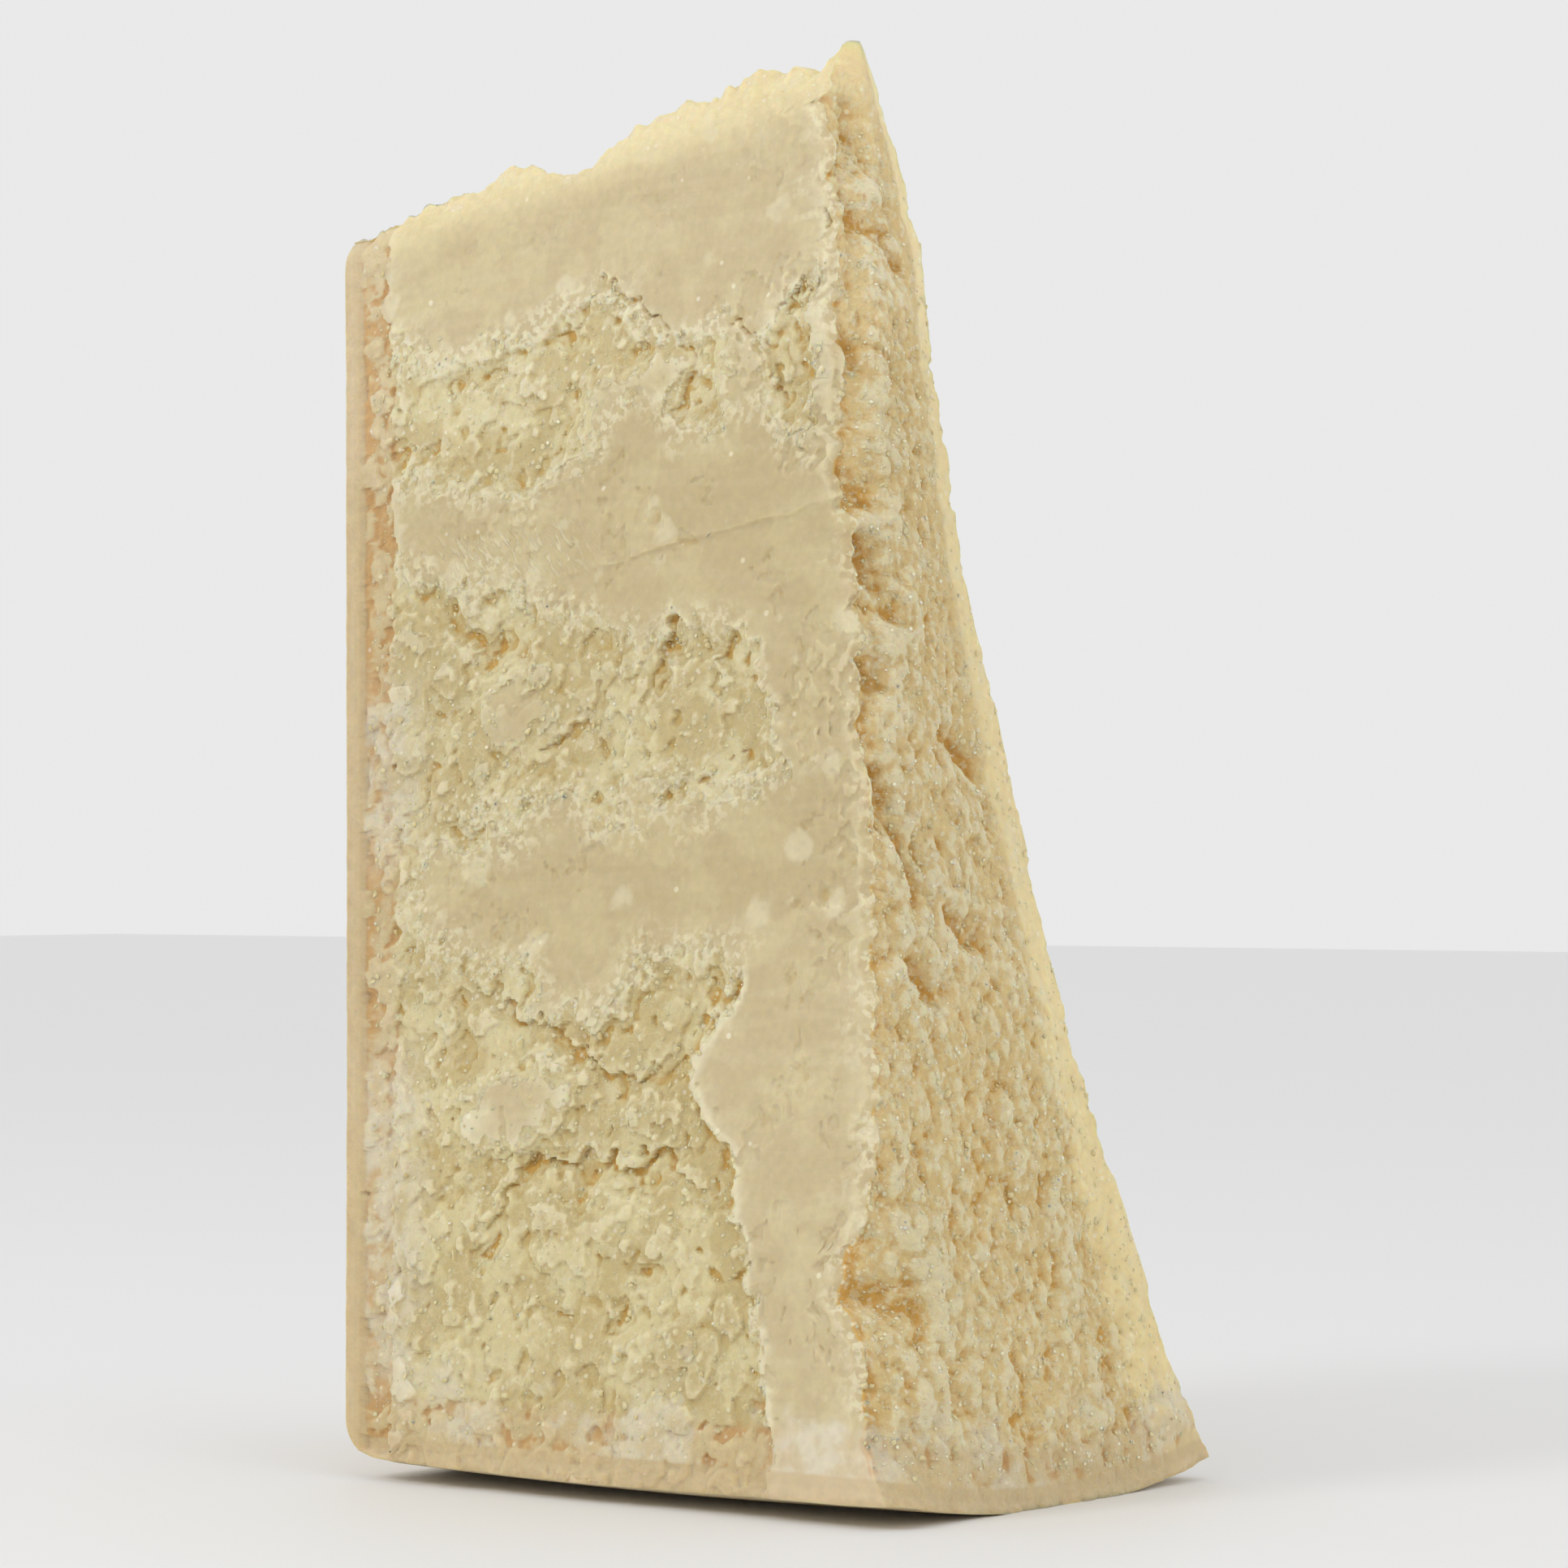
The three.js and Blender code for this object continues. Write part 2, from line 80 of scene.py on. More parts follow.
# The crumbled tip line, as [s, q]
TIP_LINE = [[0, 5], [20, 3.5], [31, 3.2], [36, 1.6], [39, 1.4], [44, 4.2], [48, 6], [53, 5.8],
            [57, 3.8], [62, 1.8], [71, 1.9], [73.5, 0], [75, -0.1], [77.5, 1.7], [80, 1.6],
            [82, -0.1], [88.5, -0.7], [92, 0.4], [97, 1.3], [101, 2.8], [104, 2.6],
            [105.8, 1.4], [107, -0.8]]

# Borders of the stretches that the knife left smooth, as [s, q], and of the corner slab, as [q, s]
TOP_SLAB_END = [[0, 22], [30, 27], [57, 26], [72, 37], [82, 37], [90, 42.5], [99, 38],
                [107, 24]]
UPPER_BAND_START = [[0, 47], [30, 57], [51, 58], [61, 51], [72, 59], [87, 60], [102, 69]]
UPPER_BAND_END = [[0, 60], [41, 70], [61, 80], [84, 82], [91, 110], [107, 110]]
LOWER_BAND_START = [[14, 116], [20, 112], [61, 113], [81, 117], [107, 114]]
LOWER_BAND_END = [[14, 116], [31, 124], [46, 132], [87, 133], [107, 135]]
CORNER_SLAB_SIDE = [[133, 88], [145, 76], [151, 71], [159, 72], [165, 78], [175, 78],
                    [188, 82], [225, 86]]
EDGE_STRIP = [101.5, 135]
STEP_LINE = 71.0
STEP_WAVES = [[9, 0.8, 17], [1.5, 0.3, 18]]
STEP_BORDER = 0.4
STEP_LIP = 0.22
STEP_LIP_WIDTH = 1.2
STEP_LIP_FROM = [48, 62]
RIND_PATCH_WIDTH = 10.0

# Waves that bend these borders along the axis and outwards, as [size, height, seed]
BENDS_ALONG = [[7, 1.5, 11], [2.6, 1.2, 12], [1.2, 0.8, 15]]
BENDS_OUT = [[8, 2.0, 13], [2.6, 1.6, 14], [1.2, 1.1, 16]]

# How far each smooth stretch stands out from the cut
TOP_SLAB_LEVEL = -0.2
UPPER_BAND_LEVEL = -0.7
UNDER_STEP_LEVEL = -0.95
LOWER_BAND_LEVEL = -1.0
CORNER_SLAB_LEVEL = -0.4
ELSEWHERE_LEVEL = -0.2
RIND_LEVEL = -0.5
RIND_PATCH_LEVEL = -1.3
RIND_PATCH_CURDS = [[5, 0.9]]
RIND_PATCH_WAVES = [[4, 0.5, 32]]

# How far the broken paste lies behind the cuts, how rough the broken face is, its even rim along the
# back cut, and the trench behind its front edge
FRONT_RECESS = 1.1
BACK_RECESS = 1.6
BREAK_RECESS = 0.4
BREAK_ROUGHNESS = 1.0
BREAK_STRETCH = 0.6
RIM_WIDTH = [2, 9]
RIM_EVEN = 0.2
TRENCH_DEPTH = 2.0
TRENCH_PLACE = 3.8
TRENCH_WIDTH = 2.0
TRENCH_BENDS = [[7, 1.2, 77]]
TRENCH_ENDS = [130, 95]
PIT_SHARE = 0.75
SHEET_SHARE = 0.5
EDGE_WAVES = [[2.8, 0.9, 71], [1.2, 0.6, 72]]
EDGE_STRETCH = 0.4
EDGE_JAGGED = 2.5

# Broken paste: swells as [size, height, seed], curds as [size, height], and a curd's mean
SWELLS = [[26, 1.0, 0], [11, 0.7, 1]]
CURDS = [[9, 1.2], [4.2, 0.8]]
CURD_MEAN = 0.75

# Its grain: waves that bend it, curds, flakes as [size, height, seed], and how restless it is
CRUMB_BENDS = [[4, 1.1, 0], [1.5, 0.4, 1]]
CRUMB_CURDS = [[2.7, 0.9], [1.5, 0.5]]
CRUMB_FLAKES = [[2.9, 0.2, 11], [1.2, 0.1, 21]]
CRUMB_LARGE_FLAKES = [[6.2, 0.2, 4]]
RESTLESS = [0.75, 0.45]
RESTLESS_SIZE = 15
FRONT_CRUMB = 0.4
RIND_PATCH_CRUMB = 0.5
BACK_CRUMB = 0.55

# The grain of the broken face, and the waves that bend it
BREAK_CRUMB = 0.3
BREAK_CURDS = [[4.2, 1.3]]
BREAK_GRIT = [[2.3, 1.0]]
BREAK_FINE_GRIT = [[1.2, 0.4]]
BREAK_CURD_STRETCH = 0.7
BREAK_GRIT_STRETCH = 0.8
BREAK_BENDS_ACROSS = [[5, 1.4, 73], [2, 0.7, 74]]
BREAK_BENDS_OUT = [[6, 2.2, 75], [2, 0.8, 76]]

# How far back the break's front edge has crumbled, near the tip and lower down, and its corner
BREAK_DEPTH = 24
EDGE_FALL = [3.4, 1.6]
EDGE_FALL_CHANGE = [85, 110]
EDGE_FALL_WIDTH = 6
CORNER_BREAK = 3.4
CORNER_START = [160, 195]
CORNER_END = [212, 222]
CORNER_WIDTH = [2, 16]
EDGE_ROUNDING = 0.7
EDGE_ROUNDED = 2
BREAK_RIND_LEVEL = -0.8
BREAK_RIND_SHARE = 0.8
BREAK_RIND_WIDTH = 6

# The tip's crags
TIP_WAVES = [[3.4, 0.9, 81], [1.5, 0.7, 84]]
TIP_CURDS = [5, 0.7]
TIP_CRUMB = 0.6

# How far the paste is lifted under the knife in a smooth stretch, and how gently its borders come in
KNIFE_LIFT = 3.8
EDGE_LIFT = 2.5
SOFT_BORDER = 10.0
SLAB_BORDER = 2.5
CRACKED_BORDER = 5.0
CRACK_DEPTH = 1.1
CRACK_WIDTH = 0.5
CRACK_FROM = [40, 52]
SHARP_BORDER = 0.3
KNIFE_EDGE = [-0.05, 0.25]

# Knife marks: waves and drag lines as [size, height, seed], and chips torn out where the torn waves
# pass a height, as [from, to, depth]
KNIFE_WAVES = [[14, 0.12, 99]]
DRAG_LINES = [[1.3, 0.02, 90]]
DRAG_LENGTH = 14
DRAG_SWELLS = [[6, 0.07, 91]]
DRAG_SWELL_LENGTH = 3
TORN_WAVES = [[9, 1, 92], [3.2, 0.7, 93], [1.3, 0.5, 94]]
TORN_CHIPS = [[0.62, 0.7, 0.3], [1.1, 1.18, 0.25]]

# Where the back cut is smooth, and how far off along the axis its knife marks are taken from
BACK_SMOOTH = [[24, 1, 41], [6, 0.25, 42]]
BACK_BORDER = [-0.1, 0.3]
BACK_OFFSET = 300

# Thin torn sheets: how thick one is, where its edge lies and the waves in that edge
LAYER = 0.65
SHEET_EDGE = [0.34, 0.66]
SHEET_WAVES = [[2.8, 0.32, 0], [1.3, 0.2, 1]]

# The pale fringe of a smooth stretch, and the strip along the right edge, as [width, share]
FRINGE_MIDDLE = 0.1
FRINGE_WIDTH = 1.0
BACK_FRINGE_WIDTH = 0.55
EDGE_FRINGE = [4, 0.9]

# Ledges in the front cut, each a line of [s, q, drop] with the paste falling away on its right
FRONT_LEDGES = [
    [[58, 29, 0], [60, 27, 0.9], [66, 34, 1.2], [72, 34.5, 2], [73.5, 39, 1.5], [71, 38, 0]],
    [[76, 36, 0], [72.5, 41, 1.4], [73, 46, 2.6], [71, 50, 2.3], [69, 53, 0]],
    [[93, 47, 0], [90, 50, 1.3], [91, 54, 2.3], [95, 57, 1.2], [98, 58, 0]],
    [[21, 74, 0], [25, 76, 1.7], [29.5, 80, 2.6], [27, 83, 1.2], [24, 84, 0]],
    [[76, 82, 0], [70.5, 84, 1.4], [65.5, 85.5, 2.5], [62, 90, 1.3], [60, 93, 0]],
    [[84, 84, 0], [81, 88, 1.5], [77.5, 91.5, 1.9], [74, 93, 0]],
    [[53, 88, 0], [51, 93, 1.6], [47.5, 97, 2], [43, 100, 1.5], [36, 100, 0]],
    [[84, 104, 0], [80, 109, 1.2], [71, 109, 1.5], [62, 112, 1.3], [56, 110, 0]],
    [[68, 149, 0], [61, 152, 1.7], [54, 151.5, 2.6], [48, 147, 2.6], [42, 142.5, 1.6],
     [36, 141, 2.3], [31, 135, 1.5], [25, 131, 0]],
    [[75, 173, 0], [70, 170, 2], [64, 164, 3], [57, 167, 3.5], [49, 165, 3.1], [42, 162, 3.2],
     [36, 163.5, 2.6], [30, 168, 2], [25, 172, 0]],
    [[14, 152, 0], [17, 160, 0.7], [20, 168, 0.9], [21, 178, 0.4], [20, 186, 0]],
    [[71, 183, 0], [63, 181, 0.6], [54, 187, 0.9], [49, 194, 0.6], [42, 198, 0]],
]
LEDGE_FADE = 3.2
LEDGE_BORDER = 0.7
LEDGE_SHARE = 0.7

# Lumps that stand out of the broken paste, as [s, q, half length, half height, how far out]
FRONT_LUMPS = [
    [60, 45, 13, 9, 1.0],
    [84, 47, 9, 7, 0.7],
    [38, 90, 11, 8, 1.3],
    [71, 97, 13, 11, 1.0],
    [26, 103, 9, 7, 0.6],
    [49, 137, 17, 8, 1.2],
    [36, 153, 21, 9, 1.5],
    [62, 158, 9, 5, 0.9],
    [52, 176, 18, 8, 0.6],
    [95, 146, 9, 14, 0.9],
]
LUMP_RIM = 0.9
LUMP_SHOULDER = 0.6

# Pits in the broken face, as [y, q, y, q, half width, depth]
BROKEN_PITS = [
    [-2, 10, -3, 17, 2.2, 2.8],
    [-5, 27, 1, 35, 1.8, 2.8],
    [-16, 55, -15, 72, 2.4, 4.4],
    [-14, 81, -11, 88, 2.4, 5.0],
    [-19, 96, -18, 101, 2.0, 4.0],
    [-3, 107, 3, 111, 2.2, 3.4],
    [-20, 114, -16, 133, 2.2, 3.4],
    [-8, 136, -2, 139, 2.0, 3.4],
    [-19, 141, -16, 147, 2.4, 4.0],
    [-37, 188, -30, 194, 4.4, 5.4],
]

# Fineness of the fine mesh, and the triangles it is thinned to
AXIAL_CELLS = 216
RIM_CELLS = 8
RADIAL_CELLS = 460
CROSS_CELLS = 92
TRIANGLES_KEPT = 194000

# How far a deep place is pulled up under the ledge above it, as a share of its depth
FRONT_UNDERCUT = 0.32
BROKEN_UNDERCUT = 0.15
UNDERCUT_FROM_TIP = 14
UNDERCUT_FROM_HEEL = 12


def smoothstep(low, high, x):
    share = np.clip((x - low) / (high - low), 0, 1)
    return share * share * (3 - 2 * share)


def lerp(a, b, share):
    return a + (b - a) * share


def hashed(column, row, seed):
    """A repeatable number from 0 to 1 for each cell of a square lattice, the same as the solid's."""
    def wrap(number, factor):
        return np.asarray(number).astype(np.int64).astype(np.uint32) * np.uint32(factor)
    h = wrap(column, 374761393) ^ wrap(row, 668265263) ^ np.uint32(seed * 1274126177 & 0xFFFFFFFF)
    h = (h ^ (h >> np.uint32(13))) * np.uint32(1103515245)
    h = (h ^ (h >> np.uint32(15))) * np.uint32(2246822519)
    h = h ^ (h >> np.uint32(16))
    return h / 4294967296.0


def turned(u, v, seed):
    """The place turned by an angle of the seed's own, so that no two lattices line up."""
    return u * math.cos(seed) + v * math.sin(seed), v * math.cos(seed) - u * math.sin(seed)


def waves(u, v, size, seed):
    """Smooth waves from -1 to 1 with crests about two sizes apart."""
    u, v = turned(u, v, seed)
    column, row = np.floor(u / size), np.floor(v / size)
    across = smoothstep(0, 1, u / size - column)
    down = smoothstep(0, 1, v / size - row)
    upper = lerp(hashed(column, row, seed), hashed(column + 1, row, seed), across)
    lower = lerp(hashed(column, row + 1, seed), hashed(column + 1, row + 1, seed), across)
    return 2 * lerp(upper, lower, down) - 1


def curds(u, v, size, seed):
    """Rounded curds packed side by side: 1 on each crown, falling to 0 where they part."""
    u, v = turned(u, v, seed)
    column, row = np.floor(u / size), np.floor(v / size)
    nearest = np.ones_like(u)
    for i in (-1, 0, 1):
        for j in (-1, 0, 1):
            du = u / size - column - i - hashed(column + i, row + j, seed)
            dv = v / size - row - j - hashed(column + i, row + j, seed + 1)
            nearest = np.minimum(nearest, du * du + dv * dv)
    return 1 - nearest


def flakes(u, v, size, seed):
    """Flat flakes side by side, each with a height and a tilt of its own, from about -1 to 1."""
    u, v = turned(u, v, seed)
    column, row = np.floor(u / size), np.floor(v / size)
    nearest = np.full_like(u, 9.0)
    height = np.zeros_like(u)
    for i in (-1, 0, 1):
        for j in (-1, 0, 1):
            cell = column + i, row + j
            du = u / size - cell[0] - hashed(*cell, seed)
            dv = v / size - cell[1] - hashed(*cell, seed + 1)
            distance = du * du + dv * dv
            closer = distance < nearest
            tilt = (2 * hashed(*cell, seed + 2) - 1) * du + (2 * hashed(*cell, seed + 3) - 1) * dv
            height = np.where(closer, 1.4 * hashed(*cell, seed + 4) - 0.7 + tilt, height)
            nearest = np.where(closer, distance, nearest)
    return height


def along(points, x):
    """Height of a line given by its corner points."""
    points = np.array(points, float)
    return np.interp(x, points[:, 0], points[:, 1])


def grooves(lines, u, v):
    """The depth of a soft-edged groove along each listed line."""
    depth = np.zeros_like(u)
    for u0, v0, u1, v1, half_width, deep in lines:
        du, dv = u1 - u0, v1 - v0
        share = np.clip(((u - u0) * du + (v - v0) * dv) / (du * du + dv * dv), 0, 1)
        distance = np.hypot(u - u0 - share * du, v - v0 - share * dv)
        depth = np.maximum(depth, deep * np.exp(-(distance / half_width) ** 2))
    return depth


def ledges(lines, u, v):
    """How far the paste lies back below each ledge: most at the line, less and less away from it."""
    depth = np.zeros_like(u)
    for line in lines:
        nearest = np.full_like(u, 1e9)
        drop = np.zeros_like(u)
        for (u0, v0, drop0), (u1, v1, drop1) in zip(line[:-1], line[1:]):
            du, dv = u1 - u0, v1 - v0
            share = np.clip(((u - u0) * du + (v - v0) * dv) / (du * du + dv * dv), 0, 1)
            distance = np.hypot(u - u0 - share * du, v - v0 - share * dv)
            side = (u - u0) * dv - (v - v0) * du
            below = past(side / math.hypot(du, dv), LEDGE_BORDER)
            fall = lerp(drop0, drop1, share) * below * np.exp(-distance / LEDGE_FADE)
            closer = distance < nearest
            drop = np.where(closer, fall, drop)
            nearest = np.where(closer, distance, nearest)
        depth = np.maximum(depth, drop)
    return depth


def lumps(places, u, v):
    """How far the listed lumps stand out."""
    height = np.zeros_like(u)
    for u0, v0, length, rise, out in places:
        share = 1 - ((u - u0) / length) ** 2 - ((v - v0) / rise) ** 2
        crown = lerp(LUMP_SHOULDER, 1, np.clip(share, 0, 1))
        height = np.maximum(height, out * smoothstep(0, LUMP_RIM, share) * crown)
    return height


def past(distance, softness=SHARP_BORDER):
    """0 on one side of a border and 1 on the other."""
    return smoothstep(-softness, softness, distance)


def front_cut(s, q):
    blunt = lerp(TIP_FRONT_AT_RIND, TIP_FRONT, s / HALF_HEIGHT)
    return -(q * math.tan(HALF_ANGLE) + blunt * np.maximum(0, 1 - q / TIP_FADE))


def back_cut(s, q):
    straight = q * math.tan(HALF_ANGLE) + BACK_CUT[0][1] * np.maximum(0, 1 - q / TIP_FADE)
    return lerp(straight, along(BACK_CUT, q), s / HALF_HEIGHT)


def laid(layers, u, v, seed=0):
    """Waves of several sizes laid over each other, each as [size, height, own seed]."""
    return sum(height * waves(u, v, size, seed + own) for size, height, own in layers)


def packed(layers, u, v, seed):
    """Curds of several sizes, each as [size, height], above and below their mean."""
    return sum(height * (curds(u, v, size, seed + 2 * i) - CURD_MEAN)
               for i, (size, height) in enumerate(layers))


def shingled(layers, u, v, seed):
    """Flakes of several sizes, each as [size, height, own seed]."""
    return sum(height * flakes(u, v, size, seed + own) for size, height, own in layers)


def broken_paste(u, v, seed):
    """Broken paste, above and below its mean."""
    return laid(SWELLS, u, v, seed) + packed(CURDS, u, v, seed + len(SWELLS))


def layered(height, u, v, seed):
    """The same height torn into thin sheets, one LAYER thick each, with lacy edges."""
    torn = height + laid(SHEET_WAVES, u, v, seed)
    sheet = np.floor(torn / LAYER)
    return LAYER * (sheet + smoothstep(*SHEET_EDGE, torn / LAYER - sheet))


def crumb(u, v, seed):
    """The grain of a break, finer than the solid's curds: large flakes, small curds and grit."""
    bent_u = u + laid(CRUMB_BENDS, u, v, seed)
    bent_v = v + laid(CRUMB_BENDS, u, v, seed + 2)
    calm, uneasy = RESTLESS
    restless = calm + uneasy * waves(u, v, RESTLESS_SIZE, seed + 30)
    small = packed(CRUMB_CURDS, bent_u, bent_v, seed + 17) + shingled(CRUMB_FLAKES, bent_u, bent_v, seed)
    return shingled(CRUMB_LARGE_FLAKES, bent_u, bent_v, seed) + restless * small


def knife_marks(s, q):
    """The faint waviness, drag lines and small torn chips of a surface that the knife ran over."""
    drag = laid(DRAG_LINES, s / DRAG_LENGTH, q) + laid(DRAG_SWELLS, s / DRAG_SWELL_LENGTH, q)
    torn = laid(TORN_WAVES, s, q)
    chips = sum(depth * smoothstep(low, high, torn) for low, high, depth in TORN_CHIPS)
    return drag - chips + laid(KNIFE_WAVES, s, q)


def on_rind(s, q):
    """1 on the rind that the cuts show, 0 on the paste."""
    near_rind = np.minimum(s, FLAT_FACE_RADIUS + s * TAN_TAPER - q)
    return 1 - smoothstep(RIND_DEPTH - RIND_BORDER, RIND_DEPTH, near_rind)


def tip_slack(q):
    """Near the thin tip every crag is shallower, so that front and back never meet."""
    return lerp(SHALLOW_SHARE, 1, smoothstep(0, SHALLOW_TO, q))


def tip_rounding(q, depth):
    return depth * np.maximum(0, 1 - q / TIP_ROUNDED) ** 2


def smooth_stretches(s, q, a, b):
    """How far each place belongs to each smooth stretch, 0 to 1, with the bent places a and b."""
    lipped = smoothstep(*CRACK_FROM, s)
    top_slab = past(along(TOP_SLAB_END, a) - b, lerp(SOFT_BORDER, CRACKED_BORDER, lipped))
    upper_band = (past(b - along(UPPER_BAND_START, a), SOFT_BORDER)
                  * past(along(UPPER_BAND_END, a) - b, SOFT_BORDER))
    lower_band = (past(b - along(LOWER_BAND_START, a), SOFT_BORDER)
                  * past(along(LOWER_BAND_END, a) - b, SOFT_BORDER))
    corner_slab = past(b - CORNER_SLAB_SIDE[0][0]) * past(a - along(CORNER_SLAB_SIDE, b), SLAB_BORDER)
    return top_slab, upper_band, lower_band, corner_slab


def knife_level(s, q, top_slab, upper_band, lower_band, corner_slab):
    """How far out the knife left each place of the front cut."""
    past_step = q + laid(STEP_WAVES, s, q) - STEP_LINE
    step = smoothstep(-STEP_BORDER, STEP_BORDER, past_step)
    lip = STEP_LIP * np.exp(-np.maximum(0, -past_step) / STEP_LIP_WIDTH) * (1 - step)
    upper = lerp(UPPER_BAND_LEVEL, UNDER_STEP_LEVEL, step) + lip * smoothstep(*STEP_LIP_FROM, s)
    level = lerp(ELSEWHERE_LEVEL, upper, upper_band)
    level = lerp(level, LOWER_BAND_LEVEL, lower_band)
    level = lerp(level, CORNER_SLAB_LEVEL, corner_slab)
    return lerp(level, TOP_SLAB_LEVEL, top_slab)


def knife_cut(broken, lift, level, marks):
    """Broken paste that the knife cut flat wherever it reached past the level."""
    over_knife = broken + lift - level
    smooth = smoothstep(*KNIFE_EDGE, over_knife)
    return level + np.minimum(over_knife, 0) + smooth * marks, smooth, over_knife


def top_crack(s, q, a, b):
    """The depth of the thin crack that follows the top slab's lower border."""
    from_border = b - along(TOP_SLAB_END, a)
    crack = np.exp(-(from_border / CRACK_WIDTH) ** 2) * smoothstep(-0.2, 0.4, waves(s, q, 6, 19))
    return CRACK_DEPTH * smoothstep(*CRACK_FROM, s) * crack


def front_relief(s, q):
    """How far the front cut stands out from front_cut, in -y, where it is smooth, and its fringe."""
    a = s + laid(BENDS_ALONG, s, q)
    b = q + laid(BENDS_OUT, s, q)
    stretches = smooth_stretches(s, q, a, b)
    planed = np.maximum.reduce(stretches)
    edge_strip = past(a - EDGE_STRIP[0], SLAB_BORDER) * past(EDGE_STRIP[1] - q)
    lift = np.maximum(KNIFE_LIFT * planed, EDGE_LIFT * edge_strip)
    masses = (broken_paste(s, q, 20) - FRONT_RECESS + lumps(FRONT_LUMPS, a, b)
              - LEDGE_SHARE * ledges(FRONT_LEDGES, a, b))
    broken = layered(masses, s, q, 100) + FRONT_CRUMB * crumb(s, q, 110)
    level = knife_level(s, q, *stretches)
    paste, smooth, over_knife = knife_cut(broken, lift, level, knife_marks(s, q))
    paste = paste - top_crack(s, q, a, b)

    rind_patch = 1 - past(a - RIND_PATCH_WIDTH)
    patch = RIND_PATCH_LEVEL + packed(RIND_PATCH_CURDS, s, q, 31) + laid(RIND_PATCH_WAVES, s, q)
    patch = layered(patch, s, q, 105) + RIND_PATCH_CRUMB * crumb(s, q, 130)
    rind_level = RIND_LEVEL + 0.1 * waves(s, q, 2, 132)
    cut = lerp(lerp(paste, patch, rind_patch), rind_level, on_rind(s, q))
    edge_rounding = EDGE_ROUNDING * smoothstep(HALF_HEIGHT - EDGE_ROUNDED, HALF_HEIGHT, s)
    relief = (np.maximum(cut, -DEEPEST) * tip_slack(q) - tip_rounding(q, TIP_ROUNDING_FRONT)
              - edge_rounding)

    strip_width, strip_share = EDGE_FRINGE
    fringe = np.exp(-((over_knife - FRINGE_MIDDLE) / FRINGE_WIDTH) ** 2) * (planed > 0.02)
    fringe = np.maximum(fringe, strip_share * smoothstep(HALF_HEIGHT - strip_width, HALF_HEIGHT, a))
    return relief, smooth * (1 - rind_patch) * smoothstep(3, 9, q), fringe * (1 - rind_patch)


def back_relief(s, q):
    """The same for the back cut, in +y: broken paste with a few smooth stretches."""
    lift = KNIFE_LIFT * smoothstep(*BACK_BORDER, laid(BACK_SMOOTH, s, q))
    broken = layered(broken_paste(s, q, 43) - BACK_RECESS, s, q, 103) + BACK_CRUMB * crumb(s, q, 150)
    marks = knife_marks(s + BACK_OFFSET, q)
    paste, smooth, over_knife = knife_cut(broken, lift, CORNER_SLAB_LEVEL, marks)
    rind = on_rind(s, q)
    relief = lerp(paste, RIND_LEVEL, rind) * tip_slack(q) - tip_rounding(q, TIP_ROUNDING_BACK)
    fringe = np.exp(-((over_knife - FRINGE_MIDDLE) / BACK_FRINGE_WIDTH) ** 2)
    return relief, smooth, fringe * (1 - rind)


def break_masses(y, q, bent_y, bent_q, from_front):
    """The broken face's large forms, its pits and its trench."""
    masses = BREAK_ROUGHNESS * broken_paste(y, q * BREAK_STRETCH, 60)
    masses = masses - PIT_SHARE * grooves(BROKEN_PITS, bent_y, bent_q)
    from_trench = from_front - TRENCH_PLACE - laid(TRENCH_BENDS, y, q)
    trench = np.exp(-(from_trench / TRENCH_WIDTH) ** 2)
    trench = trench * smoothstep(-0.9, 0.2, waves(y, q, 11, 78)) * smoothstep(*TRENCH_ENDS, q)
    return masses - TRENCH_DEPTH * trench


def break_grain(y, q, bent_y, bent_q):
    """The broken face's curds and grit."""
    grain = BREAK_CRUMB * crumb(y, q * BREAK_STRETCH, 170)
    grain = grain + packed(BREAK_CURDS, bent_y, BREAK_CURD_STRETCH * bent_q, 196)
    grain = grain + packed(BREAK_GRIT, y, BREAK_GRIT_STRETCH * q, 190)
    return grain + packed(BREAK_FINE_GRIT, y, q, 192)


def broken_relief(y, q):
    """How far the broken face stands out from its plane, in +s."""
    from_front = y - front_cut(HALF_HEIGHT, q)
    edge_fall = lerp(*EDGE_FALL, smoothstep(*EDGE_FALL_CHANGE, q))
    edge = edge_fall * (1 - smoothstep(0, EDGE_FALL_WIDTH, from_front))
    corner = smoothstep(*CORNER_START, q) * (1 - smoothstep(*CORNER_END, q))
    corner = CORNER_BREAK * corner * (1 - smoothstep(*CORNER_WIDTH, from_front))

    bent_y = y + laid(BREAK_BENDS_ACROSS, y, q)
    bent_q = q + laid(BREAK_BENDS_OUT, y, q)
    grain = break_grain(y, q, bent_y, bent_q)
    masses = break_masses(y, q, bent_y, bent_q, from_front)
    masses = lerp(masses, layered(masses, y, q * BREAK_STRETCH, 107), SHEET_SHARE)
    from_back = back_cut(HALF_HEIGHT, q) - y
    uneven = lerp(RIM_EVEN, 1, smoothstep(*RIM_WIDTH, from_back))
    jagged = laid(EDGE_WAVES, EDGE_STRETCH * y, q) * (1 - smoothstep(0, EDGE_JAGGED, from_front))
    paste = uneven * (masses + grain) - BREAK_RECESS + jagged

    near_heel = WHEEL_RADIUS - np.hypot(y, q)
    rind = BREAK_RIND_SHARE * (1 - smoothstep(RIND_DEPTH, RIND_DEPTH + BREAK_RIND_WIDTH, near_heel))
    return lerp(paste, BREAK_RIND_LEVEL + 0.4 * grain, rind) - edge - corner


def tip_relief(s, y):
    """How far the tip stands up from the axis."""
    size, height = TIP_CURDS
    grain = laid(TIP_WAVES, s, y) + height * curds(s, y, size, 82)
    return grain + TIP_CRUMB * crumb(s, y, 210) - along(TIP_LINE, s)


